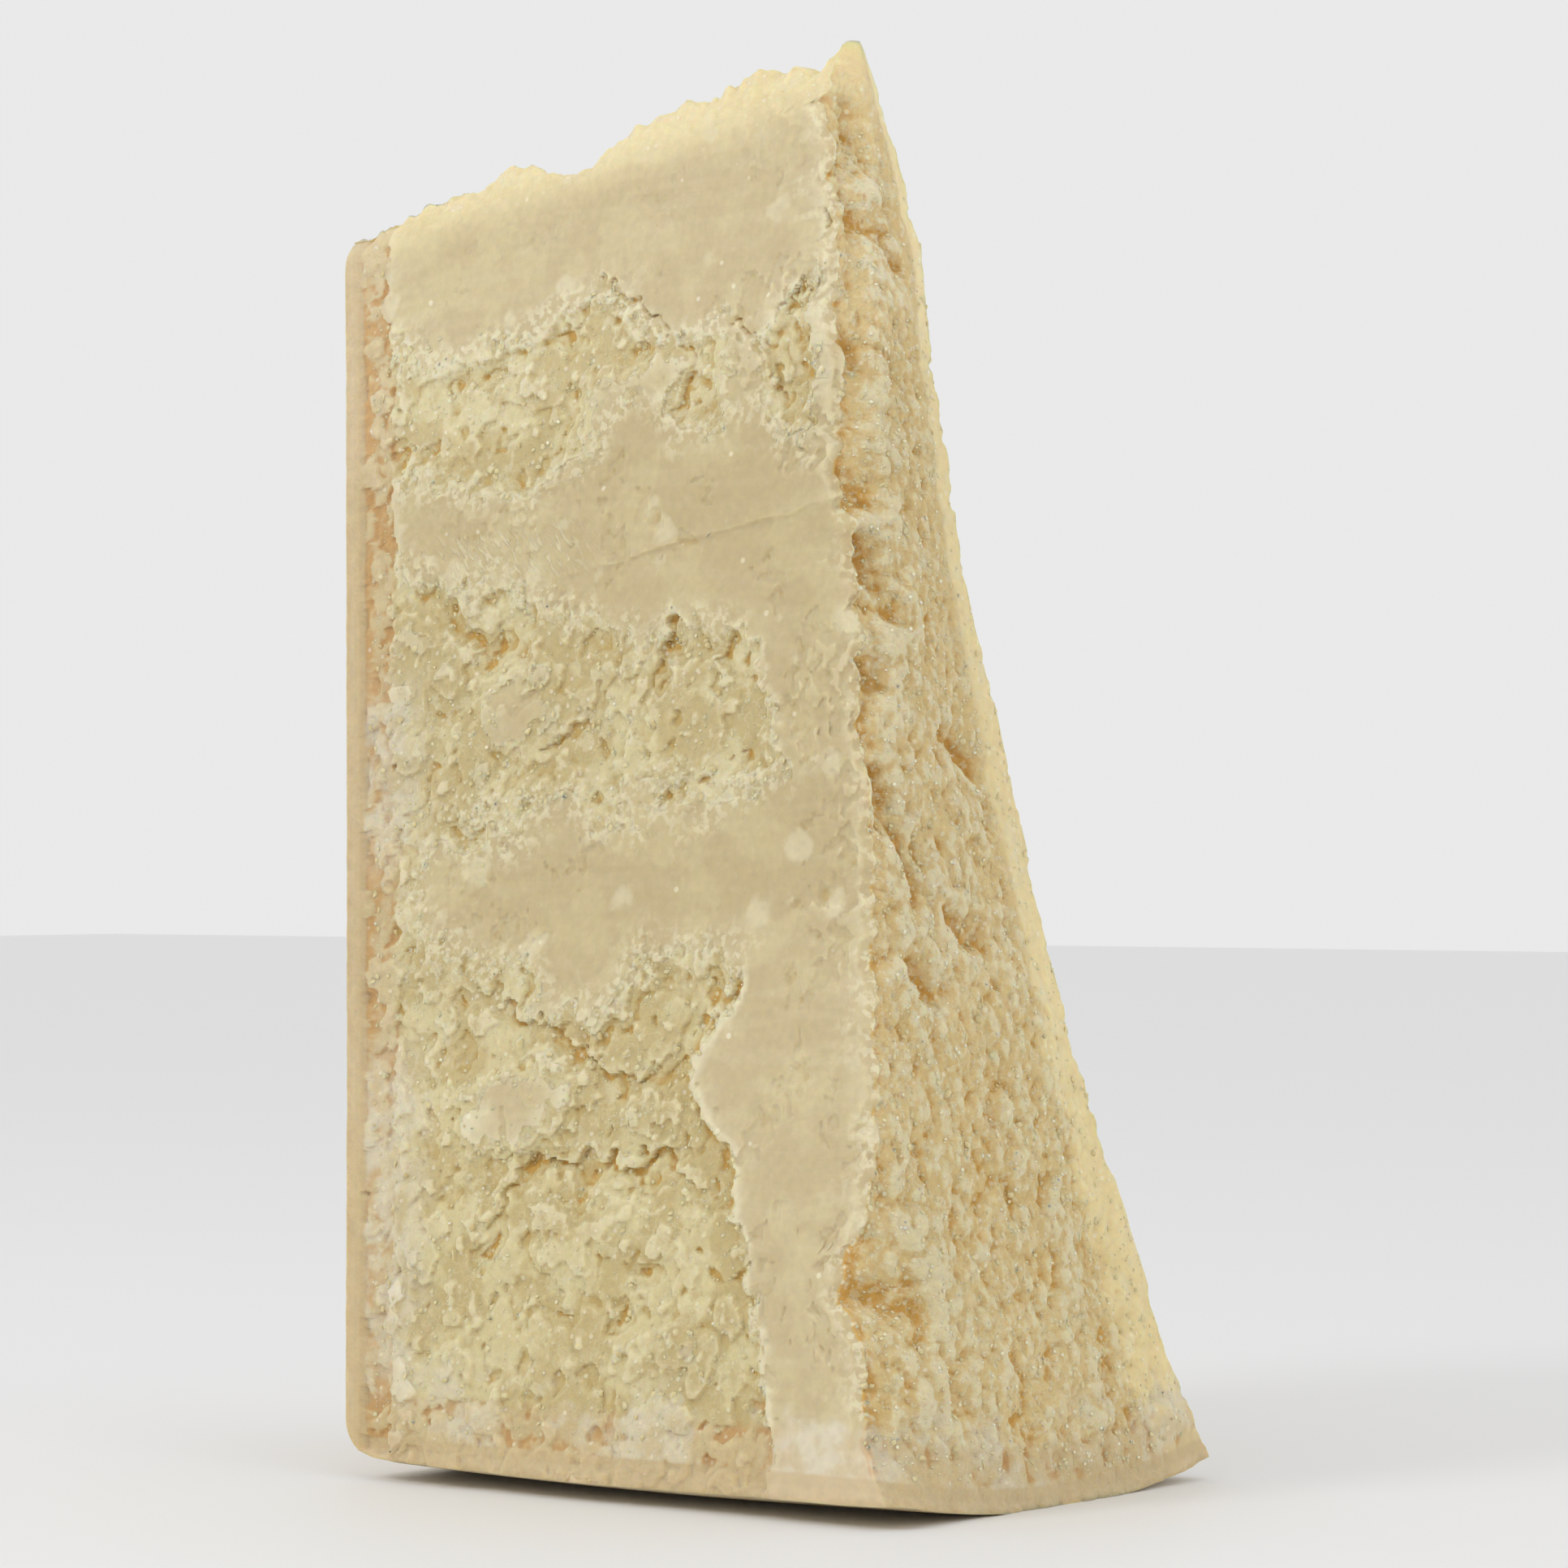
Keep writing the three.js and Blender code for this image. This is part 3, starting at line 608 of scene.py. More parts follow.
def heel_radius(s):
    share = s / HALF_HEIGHT
    side = FLAT_FACE_RADIUS + s * TAN_TAPER + 4 * SIDE_BULGE * share * (1 - share)
    in_rim = np.maximum(0, RIM_RADIUS - s)
    return side - RIM_RADIUS + np.sqrt(RIM_RADIUS ** 2 - in_rim ** 2)


def floor_reach(s):
    """How far out the surface that the wedge stands on lets the heel reach."""
    return (AXIS_HEIGHT + s * math.sin(SIDE_TAPER)) / math.cos(SIDE_TAPER)


def wedge_points(s, outward, across):
    """Places on the wedge, in s, y and q, and what their paint needs."""
    def cuts(q):
        front, front_smooth, front_fringe = front_relief(s, q)
        back, back_smooth, back_fringe = back_relief(s, q)
        y = lerp(front_cut(s, q) - front, back_cut(s, q) + back, across)
        behind = across > 0.5
        return y, front, lerp(front_smooth, back_smooth, behind), lerp(front_fringe, back_fringe, behind)

    radius = heel_radius(s)
    half_width = lerp(front_cut(s, radius), back_cut(s, radius), across)
    reach = np.minimum(np.sqrt(radius ** 2 - half_width ** 2), floor_reach(s))
    q = outward * reach
    y, front, smooth, fringe = cuts(q)
    near_break = smoothstep(HALF_HEIGHT - BREAK_DEPTH, HALF_HEIGHT, s)
    broken = broken_relief(y, q) * near_break
    near_tip = np.maximum(0, 1 - q / TIP_REACH) ** 2
    pull = FRONT_UNDERCUT * front * (1 - across) ** 4 + BROKEN_UNDERCUT * np.minimum(0, broken)
    pull = pull * smoothstep(0, UNDERCUT_FROM_TIP, q) * smoothstep(0, UNDERCUT_FROM_HEEL, reach - q)
    s_out = s + broken
    q_out = np.minimum(q - tip_relief(s, y) * near_tip + pull, floor_reach(s_out))
    return s_out, y, q_out, smooth, fringe


def in_part_frame(s, y, q):
    """Points in the part's frame, in metres."""
    x = AXIS_START + s * math.cos(SIDE_TAPER) + q * math.sin(SIDE_TAPER)
    z = AXIS_HEIGHT + s * math.sin(SIDE_TAPER) - q * math.cos(SIDE_TAPER)
    return np.stack([x, y, z], axis=-1) * MM


def axial_places():
    """Places along the axis: close together round the rim, then even up to the broken face."""
    rim = RIM_RADIUS * (1 - np.cos(np.linspace(0, math.pi / 2, RIM_CELLS + 1)[:-1]))
    return np.concatenate([rim, np.linspace(RIM_RADIUS, HALF_HEIGHT, AXIAL_CELLS + 1)])


def box_shell(cells):
    """Lattice places and quads of the outside of a box of small cells."""
    places = np.stack(np.meshgrid(*[np.arange(n + 1) for n in cells], indexing="ij"), axis=-1)
    outer = (places % np.array(cells) == 0).any(axis=-1)
    number = np.full(outer.shape, -1)
    number[outer] = np.arange(outer.sum())
    quads = []
    for axis in range(3):
        for end in (0, -1):
            sheet = np.take(number, end, axis=axis)
            corners = [sheet[:-1, :-1], sheet[1:, :-1], sheet[1:, 1:], sheet[:-1, 1:]]
            facing_out = (end == -1) != (axis == 1)
            quads.append(np.stack(corners if facing_out else corners[::-1], axis=-1).reshape(-1, 4))
    return places[outer], np.concatenate(quads), number


def blurred(heights, reach):
    """A box blur done twice, with the edge values carried outwards."""
    for _ in range(2):
        for axis in (0, 1):
            widths = [(reach + 1, reach) if a == axis else (0, 0) for a in (0, 1)]
            padded = np.pad(heights, widths, mode="edge")
            total = np.cumsum(padded, axis=axis)
            size = heights.shape[axis]
            upper = np.take(total, np.arange(2 * reach + 1, 2 * reach + 1 + size), axis=axis)
            lower = np.take(total, np.arange(0, size), axis=axis)
            heights = (upper - lower) / (2 * reach + 1)
    return heights


def new_mesh_object(name, points, faces):
    mesh = bpy.data.meshes.new(name)
    mesh.from_pydata(points.tolist(), [], faces.tolist())
    mesh.update()
    thing = bpy.data.objects.new(name, mesh)
    bpy.context.scene.collection.objects.link(thing)
    return thing


def set_attribute(mesh, name, values):
    attribute = mesh.attributes.get(name) or mesh.attributes.new(name, "FLOAT", "POINT")
    attribute.data.foreach_set("value", np.asarray(values, np.float32))


def hollowness(depth_grid):
    """How far each place of a face lies behind what is round it, near and wide, from -1 to 1."""
    near = blurred(depth_grid, 2) - depth_grid
    middling = blurred(depth_grid, 6) - depth_grid
    wide = blurred(depth_grid, 16) - depth_grid
    return np.clip(0.6 * near / 0.5 + 0.3 * middling / 1.0 + 0.35 * wide / 2.0, -1, 1)


def make_wedge():
    axial = axial_places()
    cells = (len(axial) - 1, RADIAL_CELLS, CROSS_CELLS)
    lattice, quads, number = box_shell(cells)
    i, j, k = lattice.T
    s, y, q, smooth, fringe = wedge_points(axial[i], j / RADIAL_CELLS, k / CROSS_CELLS)
    hollow = np.zeros(len(lattice))
    proud = {2: (0, -y - q * math.tan(HALF_ANGLE)), 0: (-1, s)}
    for axis, (end, height) in proud.items():
        sheet = np.take(number, end, axis=axis)
        hollow[sheet] = hollowness(height[sheet])
    back = np.take(number, -1, axis=2)
    hollow[back] = hollowness((y - q * math.tan(HALF_ANGLE))[back])

    wedge = new_mesh_object("wedge_paste", in_part_frame(s, y, q), quads)
    # The hollowness also drives the painted shade in hollows and the partly painted highlight on crests
    set_attribute(wedge.data, "hollow", hollow)
    on_cut = (k == 0) | (k == CROSS_CELLS)
    set_attribute(wedge.data, "planed", smooth * on_cut)
    set_attribute(wedge.data, "fringe", fringe * on_cut)
    set_attribute(wedge.data, "break_side", (i == cells[0]) * (k > 0))
    set_attribute(wedge.data, "thin", thinness(i, j, k, cells))
    thinned = wedge.modifiers.new("thin_out", "DECIMATE")
    thinned.ratio = TRIANGLES_KEPT / (2 * len(quads))
    baked = bpy.data.meshes.new_from_object(wedge.evaluated_get(bpy.context.evaluated_depsgraph_get()))
    wedge.modifiers.clear()
    wedge.data = baked
    baked.name = "wedge_paste"
    baked.shade_smooth()
    return wedge


def blank_chips():
    """The corners and triangles of one twenty-sided chip with a radius of 1."""
    long = (1 + math.sqrt(5)) / 2
    corners = [(0, a, b * long) for a in (-1, 1) for b in (-1, 1)]
    corners = np.array([np.roll(corner, turn) for turn in range(3) for corner in corners], float)
    corners /= np.linalg.norm(corners[0])
    side = min(np.linalg.norm(corners[0] - corner) for corner in corners[1:])
    near = np.linalg.norm(corners[:, None] - corners[None], axis=-1) < side * 1.1
    faces = []
    for a in range(12):
        for b in range(a + 1, 12):
            for c in range(b + 1, 12):
                if near[a, b] and near[b, c] and near[a, c]:
                    normal = np.cross(corners[b] - corners[a], corners[c] - corners[a])
                    outward = np.dot(normal, corners[a])
                    faces.append((a, b, c) if outward > 0 else (a, c, b))
    return corners, np.array(faces)


def surface_places(wedge):
    """Middle, normal, area and paint values of every face, with s, q and y in millimetres."""
    mesh = wedge.data
    count = len(mesh.polygons)
    middle, normal, area = np.empty(count * 3), np.empty(count * 3), np.empty(count)
    mesh.polygons.foreach_get("center", middle)
    mesh.polygons.foreach_get("normal", normal)
    mesh.polygons.foreach_get("area", area)
    middle, normal = middle.reshape(-1, 3), normal.reshape(-1, 3)
    first = np.empty(count, np.int32)
    mesh.polygons.foreach_get("loop_start", first)
    corner = np.empty(len(mesh.loops), np.int32)
    mesh.loops.foreach_get("vertex_index", corner)
    paint = {}
    for name in ("planed", "hollow"):
        values = np.empty(len(mesh.vertices), np.float32)
        mesh.attributes[name].data.foreach_get("value", values)
        paint[name] = (values[corner[first]] + values[corner[first + 1]] + values[corner[first + 2]]) / 3
    away = middle / MM - np.array([AXIS_START, 0, AXIS_HEIGHT])
    s = away[:, 0] * math.cos(SIDE_TAPER) + away[:, 2] * math.sin(SIDE_TAPER)
    q = away[:, 0] * math.sin(SIDE_TAPER) - away[:, 2] * math.cos(SIDE_TAPER)
    return middle, normal, area, paint, s, q, away[:, 1]


def scatter(name, wedge, wanted, count, radius, flatness, sink, seed):
    """Many small chips as one mesh, set into the wedge where they are wanted.

    radius is the smallest and largest; flatness is how thick a chip is for its radius."""
    random = np.random.default_rng(seed)
    middle, normal, area, paint, s, q, y = surface_places(wedge)
    weight = area * wanted(paint, s, q, y)
    chosen = random.choice(len(weight), count, p=weight / weight.sum())
    corners, faces = blank_chips()
    size = radius[0] * (radius[1] / radius[0]) ** (random.random(count) ** 2.2)
    shape = corners[None] * random.uniform(0.62, 1.1, (count, len(corners), 1))
    shape = shape * (size[:, None] * random.uniform(0.6, 1.15, (count, 3)))[:, None]
    shape[:, :, 2] *= flatness
    up = normal[chosen] + random.normal(0, 0.25, (count, 3))
    up /= np.linalg.norm(up, axis=1, keepdims=True)
    side = np.cross(up, random.normal(size=(count, 3)))
    side /= np.linalg.norm(side, axis=1, keepdims=True)
    frames = np.stack([side, np.cross(up, side), up], axis=1)
    points = np.einsum("nci,nij->ncj", shape, frames) * MM
    points += (middle[chosen] + up * (size * flatness * sink * MM)[:, None])[:, None]
    triangles = faces[None] + (np.arange(count) * len(corners))[:, None, None]
    return new_mesh_object(name, points.reshape(-1, 3), triangles.reshape(-1, 3))


def on_paste(s, q, y):
    """1 on the paste, 0 on and close to the rind and the thin tip."""
    radius = np.hypot(q, y)
    from_side = FLAT_FACE_RADIUS + s * TAN_TAPER - radius
    return (s > RIND_DEPTH + 1) * (from_side > RIND_DEPTH + 1) * (q > 12)


def make_crumbs(wedge):
    """Angular crumbs all over the breaks, and most of all where the paste is hollow."""
    def wanted(paint, s, q, y):
        return on_paste(s, q, y) * (1.002 - paint["planed"]) * (0.6 + np.clip(paint["hollow"], 0, 1))
    return scatter("crumbs", wedge, wanted, 4200, (0.22, 0.8), 0.75, -0.15, 11)


def make_flakes(wedge):
    """Thin flakes along the borders of the smooth stretches and scattered over the breaks."""
    def wanted(paint, s, q, y):
        border = 4 * paint["planed"] * (1 - paint["planed"])
        return on_paste(s, q, y) * (0.25 * (1 - paint["planed"]) + 3 * border + 0.002)
    return scatter("flakes", wedge, wanted, 2200, (0.25, 0.8), 0.35, 0.0, 12)


def make_crystals(wedge):
    """Small bright crystals that the breaks laid bare."""
    def wanted(paint, s, q, y):
        facing_break = s > HALF_HEIGHT - 12
        crest = np.clip(-2 * paint["hollow"], 0, 1)
        return on_paste(s, q, y) * (1.002 - paint["planed"]) * (0.35 + facing_break * (1 + 5 * crest))
    return scatter("crystals", wedge, wanted, 2400, (0.16, 0.42), 0.9, 0.3, 13)


def thinness(i, j, k, cells):
    """1 at the thin rim where the broken face meets the back cut, where the paste's paint is smoother
    and has a painted glow.
    """
    return (i == cells[0]) * smoothstep(0.8, 0.88, k / cells[2] + 0.03 * waves(i, j, 9, 220))


class Shader:
    """A short way to write a material's nodes."""

    def __init__(self, name):
        self.material = bpy.data.materials.new(name)
        self.material.use_nodes = True
        self.tree = self.material.node_tree
        self.surface = self.tree.nodes["Principled BSDF"]
        coordinates = self.tree.nodes.new("ShaderNodeTexCoord")
        self.place = self.vector("SCALE", coordinates.outputs["Object"], scale=1 / MM)

    def put(self, socket, value):
        if isinstance(value, bpy.types.NodeSocket):
            self.tree.links.new(value, socket)
        else:
            socket.default_value = value

    def vector(self, operation, first, second=None, scale=None):
        node = self.tree.nodes.new("ShaderNodeVectorMath")
        node.operation = operation
        self.put(node.inputs[0], first)
        if second is not None:
            self.put(node.inputs[1], second)
        if scale is not None:
            node.inputs["Scale"].default_value = scale
        return node.outputs["Value" if operation in ("DOT_PRODUCT", "LENGTH") else "Vector"]

    def math(self, operation, first, second=0.0):
        node = self.tree.nodes.new("ShaderNodeMath")
        node.operation = operation
        self.put(node.inputs[0], first)
        self.put(node.inputs[1], second)
        return node.outputs[0]

    def times(self, *factors):
        product = factors[0]
        for factor in factors[1:]:
            product = self.math("MULTIPLY", product, factor)
        return product

    def plus(self, first, second):
        return self.math("ADD", first, second)

    def minus(self, first, second):
        return self.math("SUBTRACT", first, second)

    def band(self, value, low, high, bottom=0.0, top=1.0):
        node = self.tree.nodes.new("ShaderNodeMapRange")
        node.interpolation_type = "SMOOTHSTEP"
        for socket, number in zip(node.inputs, (value, low, high, bottom, top)):
            self.put(socket, number)
        return node.outputs["Result"]

    def noise(self, size, detail=3.0, place=None, stretch=None):
        node = self.tree.nodes.new("ShaderNodeTexNoise")
        place = place or self.place
        if stretch:
            place = self.vector("MULTIPLY", place, stretch)
        self.put(node.inputs["Vector"], place)
        node.inputs["Scale"].default_value = 1 / size
        node.inputs["Detail"].default_value = detail
        return node.outputs["Fac"]

    def specks(self, size, share, place=None):
        """1 on small round specks, about one for each cube of the given size."""
        node = self.tree.nodes.new("ShaderNodeTexVoronoi")
        self.put(node.inputs["Vector"], place or self.place)
        node.inputs["Scale"].default_value = 1 / size
        return self.band(node.outputs["Distance"], share, share * 0.5)

    def plates(self, size, place):
        """A value from 0 to 1 that is the same all over each flat flake of about the given size."""
        node = self.tree.nodes.new("ShaderNodeTexVoronoi")
        self.put(node.inputs["Vector"], place)
        node.inputs["Scale"].default_value = 1 / size
        return self.vector("DOT_PRODUCT", node.outputs["Color"], (1, 0, 0))

    def warped(self, size, reach):
        """The place moved about by noise, so that straight borders turn ragged."""
        node = self.tree.nodes.new("ShaderNodeTexNoise")
        self.put(node.inputs["Vector"], self.place)
        node.inputs["Scale"].default_value = 1 / size
        node.inputs["Detail"].default_value = 4
        moved = self.vector("SUBTRACT", node.outputs["Color"], (0.5, 0.5, 0.5))
        return self.vector("ADD", self.place, self.vector("SCALE", moved, scale=reach))

    def ridges(self, size, width, where):
        """Thin winding lines, 1 along the middle, drawn only where the last value says."""
        height = self.math("ABSOLUTE", self.math("SUBTRACT", self.noise(size, 5), 0.5))
        return self.math("MULTIPLY", self.band(height, width, 0), where)

    def attribute(self, name):
        node = self.tree.nodes.new("ShaderNodeAttribute")
        node.attribute_name = name
        return node.outputs["Fac"]

    def mix(self, share, first, second):
        node = self.tree.nodes.new("ShaderNodeMix")
        node.data_type = "RGBA"
        self.put(node.inputs["Factor"], share)
        self.put(node.inputs["A"], first)
        self.put(node.inputs["B"], second)
        return node.outputs["Result"]

    def combined(self, *values):
        node = self.tree.nodes.new("ShaderNodeCombineXYZ")
        for socket, value in zip(node.inputs, values):
            self.put(socket, value)
        return node.outputs[0]

    def bump(self, height, distance, strength=1.0):
        node = self.tree.nodes.new("ShaderNodeBump")
        node.inputs["Strength"].default_value = strength
        node.inputs["Distance"].default_value = distance * MM
        self.put(node.inputs["Height"], height)
        self.put(self.surface.inputs["Normal"], node.outputs["Normal"])


def colour(red, green, blue):
    """A colour given as it shows on a screen, 0 to 255, in the linear values that a material takes."""
    def linear(value):
        value /= 255
        return value / 12.92 if value <= 0.04045 else ((value + 0.055) / 1.055) ** 2.4
    return (linear(red), linear(green), linear(blue), 1.0)


# The colours of the cheese. Some are painted light: the hollow and deep colours are painted shade, the
# glassy colour is painted glow on thin paste, and the flake colour also serves as a partly painted
# highlight on crests
PASTE_SMOOTH = colour(206, 189, 149)
PASTE_PALE = colour(224, 212, 169)
PASTE_BROKEN = colour(209, 192, 145)
# Painted shade: the darker, warmer colour painted into hollows of the paste
PAINTED_SHADE_HOLLOW = colour(206, 174, 106)
# Pale flakes, and also a partly painted highlight on crests
PALE_FLAKE_AND_HIGHLIGHT = colour(234, 226, 194)
# Painted glow where the paste is thin, at the tip and at the rim of the broken face
PAINTED_GLOW_THIN = colour(244, 228, 180)
PASTE_BREAK_FACE = colour(230, 202, 146)
# Painted shade for hollows of the broken face, and for the deepest hollows
PAINTED_SHADE_BREAK = colour(214, 168, 92)
PAINTED_SHADE_DEEP = colour(214, 168, 88)
UNDER_RIND = colour(216, 196, 158)
# Painted shade for hollows close to the rind
PAINTED_SHADE_RIND = colour(210, 166, 110)
RIND_CUT = colour(224, 208, 174)
RIND_SKIN = colour(212, 190, 150)
RIND_LINE = colour(214, 194, 156)
BAND_TINT = (0.9, 0.88, 0.82)
LOW_TINT = (0.94, 0.92, 0.85)
BLOOM = colour(228, 220, 198)
CRYSTAL = colour(250, 243, 218)


def paste_places(paint):
    """What the paste's paint goes by: places in millimetres, the mesh's own values, and patterns that
    both colour and relief follow."""
    from_start = paint.vector("SUBTRACT", paint.place, (AXIS_START, 0, AXIS_HEIGHT))
    s = paint.vector("DOT_PRODUCT", from_start, (math.cos(SIDE_TAPER), 0, math.sin(SIDE_TAPER)))
    q = paint.vector("DOT_PRODUCT", from_start, (math.sin(SIDE_TAPER), 0, -math.cos(SIDE_TAPER)))
    y = paint.vector("DOT_PRODUCT", from_start, (0, 1, 0))
    radius = paint.math("SQRT", paint.plus(paint.times(q, q), paint.times(y, y)))
    side = paint.plus(paint.times(s, TAN_TAPER), FLAT_FACE_RADIUS)
    from_side = paint.minus(side, radius)
    from_rind = paint.math("MINIMUM", s, from_side)
    ragged = paint.times(paint.minus(paint.noise(2.2, 5), 0.5), 3.0)
    skin = paint.plus(from_rind, paint.times(ragged, 0.2))
    planed = paint.attribute("planed")
    warped = paint.warped(1.8, 2.6)
    return SimpleNamespace(
        s=s, q=q, y=y, from_side=from_side, ragged=ragged, skin=skin, planed=planed,
        near_rind=paint.plus(from_rind, ragged),
        broken=paint.minus(1.0, paint.times(planed, 0.9)),
        hollow=paint.attribute("hollow"),
        break_side=paint.attribute("break_side"),
        thin=paint.attribute("thin"),
        large_plates=paint.plates(2.1, warped),
        small_plates=paint.plates(0.8, warped),
        speck=paint.times(paint.specks(2.4, 0.22), paint.band(skin, 3.3, 4.5)),
        wrinkles=wrinkled(paint, s, q, y))


def paste_colour(paint, at):
    """Smooth and broken paste: painted shade darkens and warms its hollows, a pale flake colour that is
    partly painted highlight lies on crests, and painted glow lies where it is thin.
    """
    masses = paint.band(paint.noise(11, 8), 0.47, 0.55)
    torn = paint.band(paint.noise(9, 8, place=paint.warped(3, 3)), 0.47, 0.6)
    smooth = paint.mix(paint.times(torn, 0.35), PASTE_SMOOTH, PASTE_PALE)
    base = paint.mix(at.planed, paint.mix(masses, PASTE_BROKEN, PASTE_PALE), smooth)
    base = paint.mix(paint.times(at.break_side, 0.7), base, PASTE_BREAK_FACE)
    # Painted shade: hollows darker and warmer by how far they lie back, the deepest ones darkest
    shade = paint.mix(at.break_side, PAINTED_SHADE_HOLLOW, PAINTED_SHADE_BREAK)
    base = paint.mix(paint.band(at.hollow, 0.15, 0.95), base, shade)
    base = paint.mix(paint.band(at.hollow, 0.7, 1.0, 0, 0.8), base, PAINTED_SHADE_DEEP)
    # Crests paler: partly the pale dry edges of flakes, partly a painted highlight
    base = paint.mix(paint.band(at.hollow, -0.1, -0.6, 0, 0.8), base, PALE_FLAKE_AND_HIGHLIGHT)
    crumbs = paint.times(paint.band(paint.noise(1.1, 4), 0.54, 0.66, 0, 0.6), at.break_side)
    base = paint.mix(crumbs, base, PALE_FLAKE_AND_HIGHLIGHT)
    lace = paint.times(paint.attribute("fringe"),
                       paint.band(paint.noise(1.3, 5), 0.46, 0.58, 0, 0.9))
    base = paint.mix(lace, base, PALE_FLAKE_AND_HIGHLIGHT)
    # Painted glow on the thin rim and the thin tip, as if light shone through them
    base = paint.mix(paint.times(at.thin, 0.85), base, PAINTED_GLOW_THIN)
    tip = paint.band(paint.plus(at.q, at.ragged), 13, 2, 0, 0.8)
    return paint.mix(tip, base, PAINTED_GLOW_THIN)


def with_flakes(paint, at, base):
    """Dry plates on broken paste; ovals, streaks, dots and wrinkles on smooth paste."""
    dry = paint.times(paint.band(at.large_plates, 0.62, 0.95),
                      paint.band(paint.noise(7, 2), 0.42, 0.6))
    base = paint.mix(paint.times(dry, at.broken, 0.45), base, PALE_FLAKE_AND_HIGHLIGHT)
    edges = paint.ridges(2.2, 0.04, paint.band(paint.noise(6, 2), 0.44, 0.6))
    base = paint.mix(paint.times(edges, at.broken, 0.4), base, PALE_FLAKE_AND_HIGHLIGHT)
    ovals = paint.specks(12, 0.24, place=paint.warped(5, 6))
    base = paint.mix(paint.times(ovals, at.planed, 0.55), base, PALE_FLAKE_AND_HIGHLIGHT)
    streaks = paint.band(paint.noise(2.4, 3, stretch=(0.1, 1, 1)), 0.46, 0.66)
    base = paint.mix(paint.times(streaks, 0.1, at.planed), base, PALE_FLAKE_AND_HIGHLIGHT)
    dots = paint.specks(7, 0.09)
    base = paint.mix(paint.times(dots, at.planed, 0.6), base, CRYSTAL)
    return paint.mix(paint.times(at.wrinkles, 0.5), base, PALE_FLAKE_AND_HIGHLIGHT)


def with_rind(paint, at, base):
    """The tan paste under the rind with painted shade in its hollows, the pale powder on it and the rind
    itself.
    """
    base = paint.mix(paint.band(at.near_rind, 11.5, 8.5, 0, 0.7), base, UNDER_RIND)
    # Painted shade in the hollows close to the rind
    rind_hollow_shade = paint.times(paint.band(at.near_rind, 11, 9), paint.band(at.hollow, 0.1, 0.5, 0, 0.8))
    base = paint.mix(rind_hollow_shade, base, PAINTED_SHADE_RIND)
    upper = paint.times(paint.band(at.q, 76, 88), paint.band(at.q, 116, 104))
    lower = paint.times(paint.band(at.q, 134, 150), paint.band(at.q, 198, 186))
    low_bloom = paint.times(paint.band(at.from_side, 24, 12),
                            paint.band(paint.noise(13, 3), 0.46, 0.56))
    bloom = paint.math("MAXIMUM", paint.math("MAXIMUM", upper, lower), low_bloom)
    powder = paint.times(paint.band(at.near_rind, 20, 11), bloom,
                         paint.band(paint.noise(3.5, 6), 0.36, 0.6, 0.2, 0.85))
    base = paint.mix(powder, base, BLOOM)
    base = paint.mix(paint.band(at.skin, 4.0, 3.3, 0, 0.9), base, RIND_LINE)
    rind = paint.mix(paint.noise(9, 4), RIND_CUT, RIND_SKIN)
    return paint.mix(paint.band(at.skin, 2.2, 1.4), base, rind)


def tinted(paint, at, base):
    """Crystals in the broken paste, and slow and fine changes of tint."""
    base = paint.mix(paint.times(at.speck, at.broken, 0.55), base, CRYSTAL)
    low = paint.times(paint.band(at.q, 120, 165), at.broken)
    base = paint.mix(low, base, paint.vector("MULTIPLY", base, LOW_TINT))
    middle = paint.times(paint.band(paint.plus(at.q, at.ragged), 40, 52),
                         paint.band(at.q, 150, 125))
    base = paint.mix(paint.times(middle, 0.75), base, paint.vector("MULTIPLY", base, BAND_TINT))
    tint = paint.plus(paint.times(paint.minus(paint.noise(1.4, 4), 0.5), 0.24), 1.0)
    return paint.vector("MULTIPLY", base, paint.combined(tint, tint, tint))


def paste_grain(paint, at):
    """The height of the finest grain, faint where the paste is smooth or thin."""
    flaky = paint.plus(paint.times(at.large_plates, 1.2), paint.times(at.small_plates, 0.6))
    grain = paint.plus(paint.noise(0.8, 5), paint.times(flaky, 0.6))
    grain = paint.times(grain, paint.band(at.break_side, 0, 1, 1.0, 1.5))
    grain = paint.plus(grain, paint.times(at.speck, 0.4))
    grain = paint.times(grain, paint.band(at.planed, 0, 1, 1.0, 0.05),
                        paint.band(at.thin, 0, 1, 1.0, 0.15))
    return paint.plus(grain, paint.times(at.wrinkles, 0.5))


def wrinkled(paint, s, q, y):
    """Fine wrinkles in one patch of the upper band, where the knife dragged soft paste along."""
    along_patch = paint.band(paint.math("ABSOLUTE", paint.minus(s, 36)), 22, 8)
    down = paint.minus(q, paint.times(s, 0.12))
    down_patch = paint.band(paint.math("ABSOLUTE", paint.minus(down, 61)), 6, 2)
    slope = math.radians(55)
    run = paint.plus(paint.times(s, math.cos(slope)), paint.times(q, math.sin(slope)))
    rise = paint.minus(paint.times(q, math.cos(slope)), paint.times(s, math.sin(slope)))
    place = paint.combined(paint.times(run, 0.3), rise, 0.0)
    lines = paint.band(paint.noise(0.9, 2, place=place), 0.5, 0.6)
    patch = paint.times(along_patch, down_patch, paint.band(y, -4, -8))
    return paint.times(lines, patch)


def paste_material():
    paint = Shader("aged_paste")
    at = paste_places(paint)
    base = paste_colour(paint, at)
    base = with_flakes(paint, at, base)
    base = with_rind(paint, at, base)
    base = tinted(paint, at, base)
    surface = paint.surface
    paint.put(surface.inputs["Base Color"], base)
    paint.put(surface.inputs["Roughness"], paint.band(at.planed, 0, 1, 0.72, 0.52))
    surface.inputs["Subsurface Weight"].default_value = 0.75
    surface.inputs["Subsurface Radius"].default_value = (1.0, 0.62, 0.25)
    surface.inputs["Subsurface Scale"].default_value = 0.0019
    surface.inputs["Specular IOR Level"].default_value = 0.35
    paint.bump(paste_grain(paint, at), 0.34, 1.0)
    return paint.material


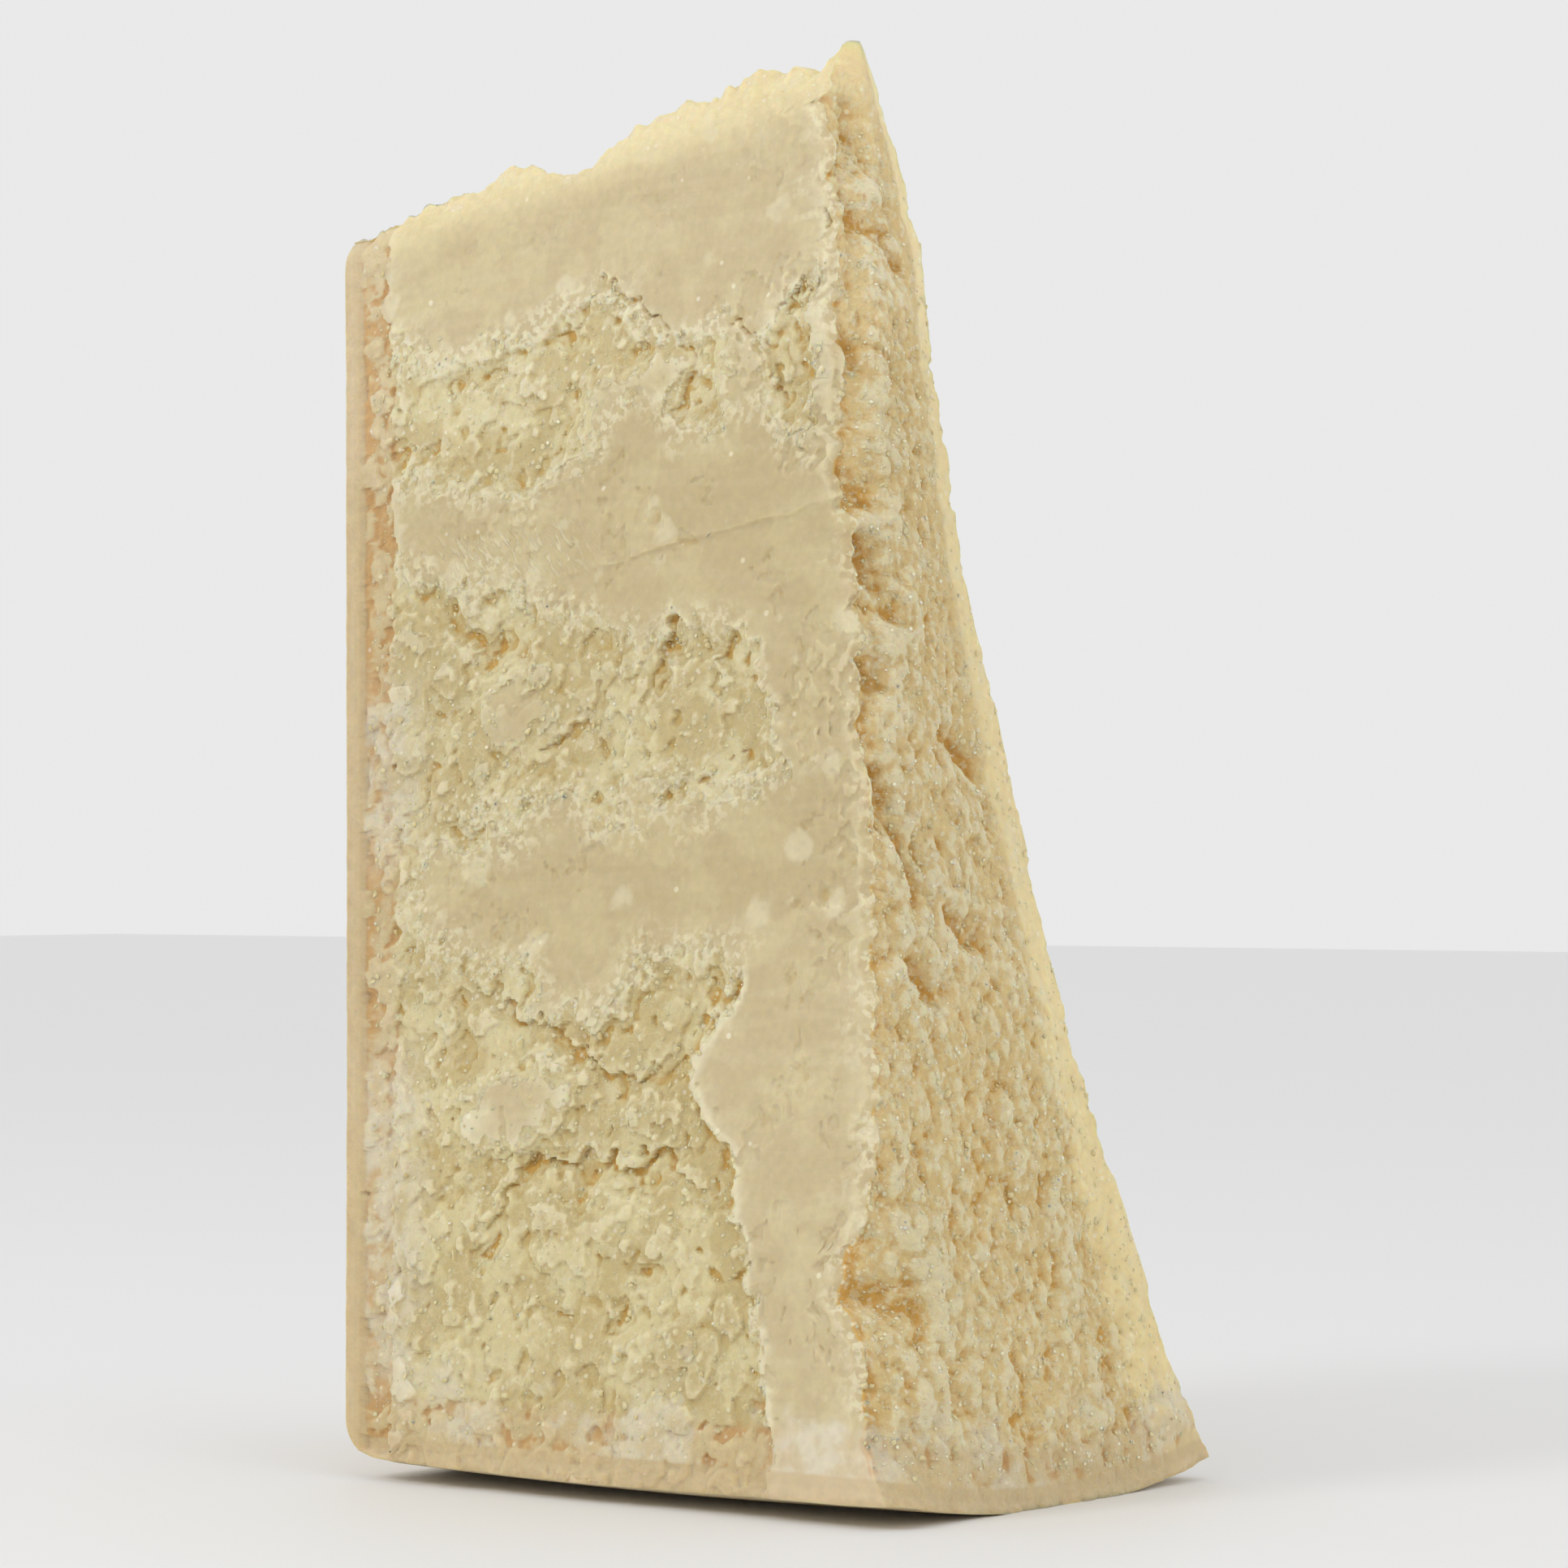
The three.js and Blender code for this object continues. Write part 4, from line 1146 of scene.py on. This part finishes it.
def chip_material(name, low, high, roughness):
    """Pale paste whose shade varies a little from chip to chip."""
    paint = Shader(name)
    base = paint.mix(paint.band(paint.noise(1.6, 2), 0.35, 0.65), low, high)
    paint.put(paint.surface.inputs["Base Color"], base)
    paint.surface.inputs["Roughness"].default_value = roughness
    paint.surface.inputs["Subsurface Weight"].default_value = 0.9
    paint.surface.inputs["Subsurface Radius"].default_value = (1.0, 0.8, 0.5)
    paint.surface.inputs["Subsurface Scale"].default_value = 0.0005
    paint.bump(paint.noise(0.4, 3), 0.06, 0.6)
    return paint.material


def make_floor():
    bpy.ops.mesh.primitive_plane_add(size=8)
    floor = bpy.context.object
    floor.name = "floor"
    paint = Shader("pale_floor")
    paint.surface.inputs["Base Color"].default_value = (0.86, 0.86, 0.86, 1)
    paint.surface.inputs["Roughness"].default_value = 0.6
    floor.data.materials.append(paint.material)


def make_light(name, place, target, size, power, tint=(1, 1, 1)):
    data = bpy.data.lights.new(name, "AREA")
    data.shape = "DISK"
    data.size = size
    data.energy = power
    data.color = tint
    light = bpy.data.objects.new(name, data)
    light.location = place
    light.rotation_euler = (Vector(target) - Vector(place)).to_track_quat("-Z", "Y").to_euler()
    bpy.context.scene.collection.objects.link(light)


def make_world(strength):
    world = bpy.data.worlds.new("studio")
    world.use_nodes = True
    background = world.node_tree.nodes["Background"]
    background.inputs["Color"].default_value = (1, 1, 1, 1)
    background.inputs["Strength"].default_value = strength
    bpy.context.scene.world = world


# The photograph's view: where the camera stands, in metres, and which way it looks, in degrees
CAMERA_PLACE = (0.5061, -0.6732, 0.0976)
CAMERA_AZIMUTH = 36.90
CAMERA_RISE = 0.72
CAMERA_LENS = 124.1


def make_camera():
    data = bpy.data.cameras.new("camera")
    data.sensor_width = 36
    data.lens = CAMERA_LENS
    data.clip_start = 0.05
    camera = bpy.data.objects.new("camera", data)
    azimuth, rise = math.radians(CAMERA_AZIMUTH), math.radians(CAMERA_RISE)
    level = math.cos(rise)
    ahead = Vector((-math.sin(azimuth) * level, math.cos(azimuth) * level, math.sin(rise)))
    camera.location = CAMERA_PLACE
    camera.rotation_euler = ahead.to_track_quat("-Z", "Y").to_euler()
    bpy.context.scene.collection.objects.link(camera)
    bpy.context.scene.camera = camera


make_camera()
make_world(0.82)
make_floor()
make_light("key", (-0.35, -0.9, 0.85), (0, 0, 0.1), 0.35, 2.8)
make_light("fill", (0.9, -0.2, 0.5), (0, 0, 0.1), 0.6, 0.7)

wedge = make_wedge()
looks = {
    wedge: paste_material(),
    make_crumbs(wedge): chip_material("crumb_paste", PASTE_BROKEN, PASTE_PALE, 0.7),
    make_flakes(wedge): chip_material("flake_paste", PASTE_BROKEN, PASTE_PALE, 0.6),
    make_crystals(wedge): chip_material("crystal_paste", PASTE_PALE, CRYSTAL, 0.35),
}
for piece, material in looks.items():
    piece.data.materials.clear()
    piece.data.materials.append(material)
    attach(piece, "root")
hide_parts("wedge")

bpy.context.scene.view_settings.view_transform = "Standard"
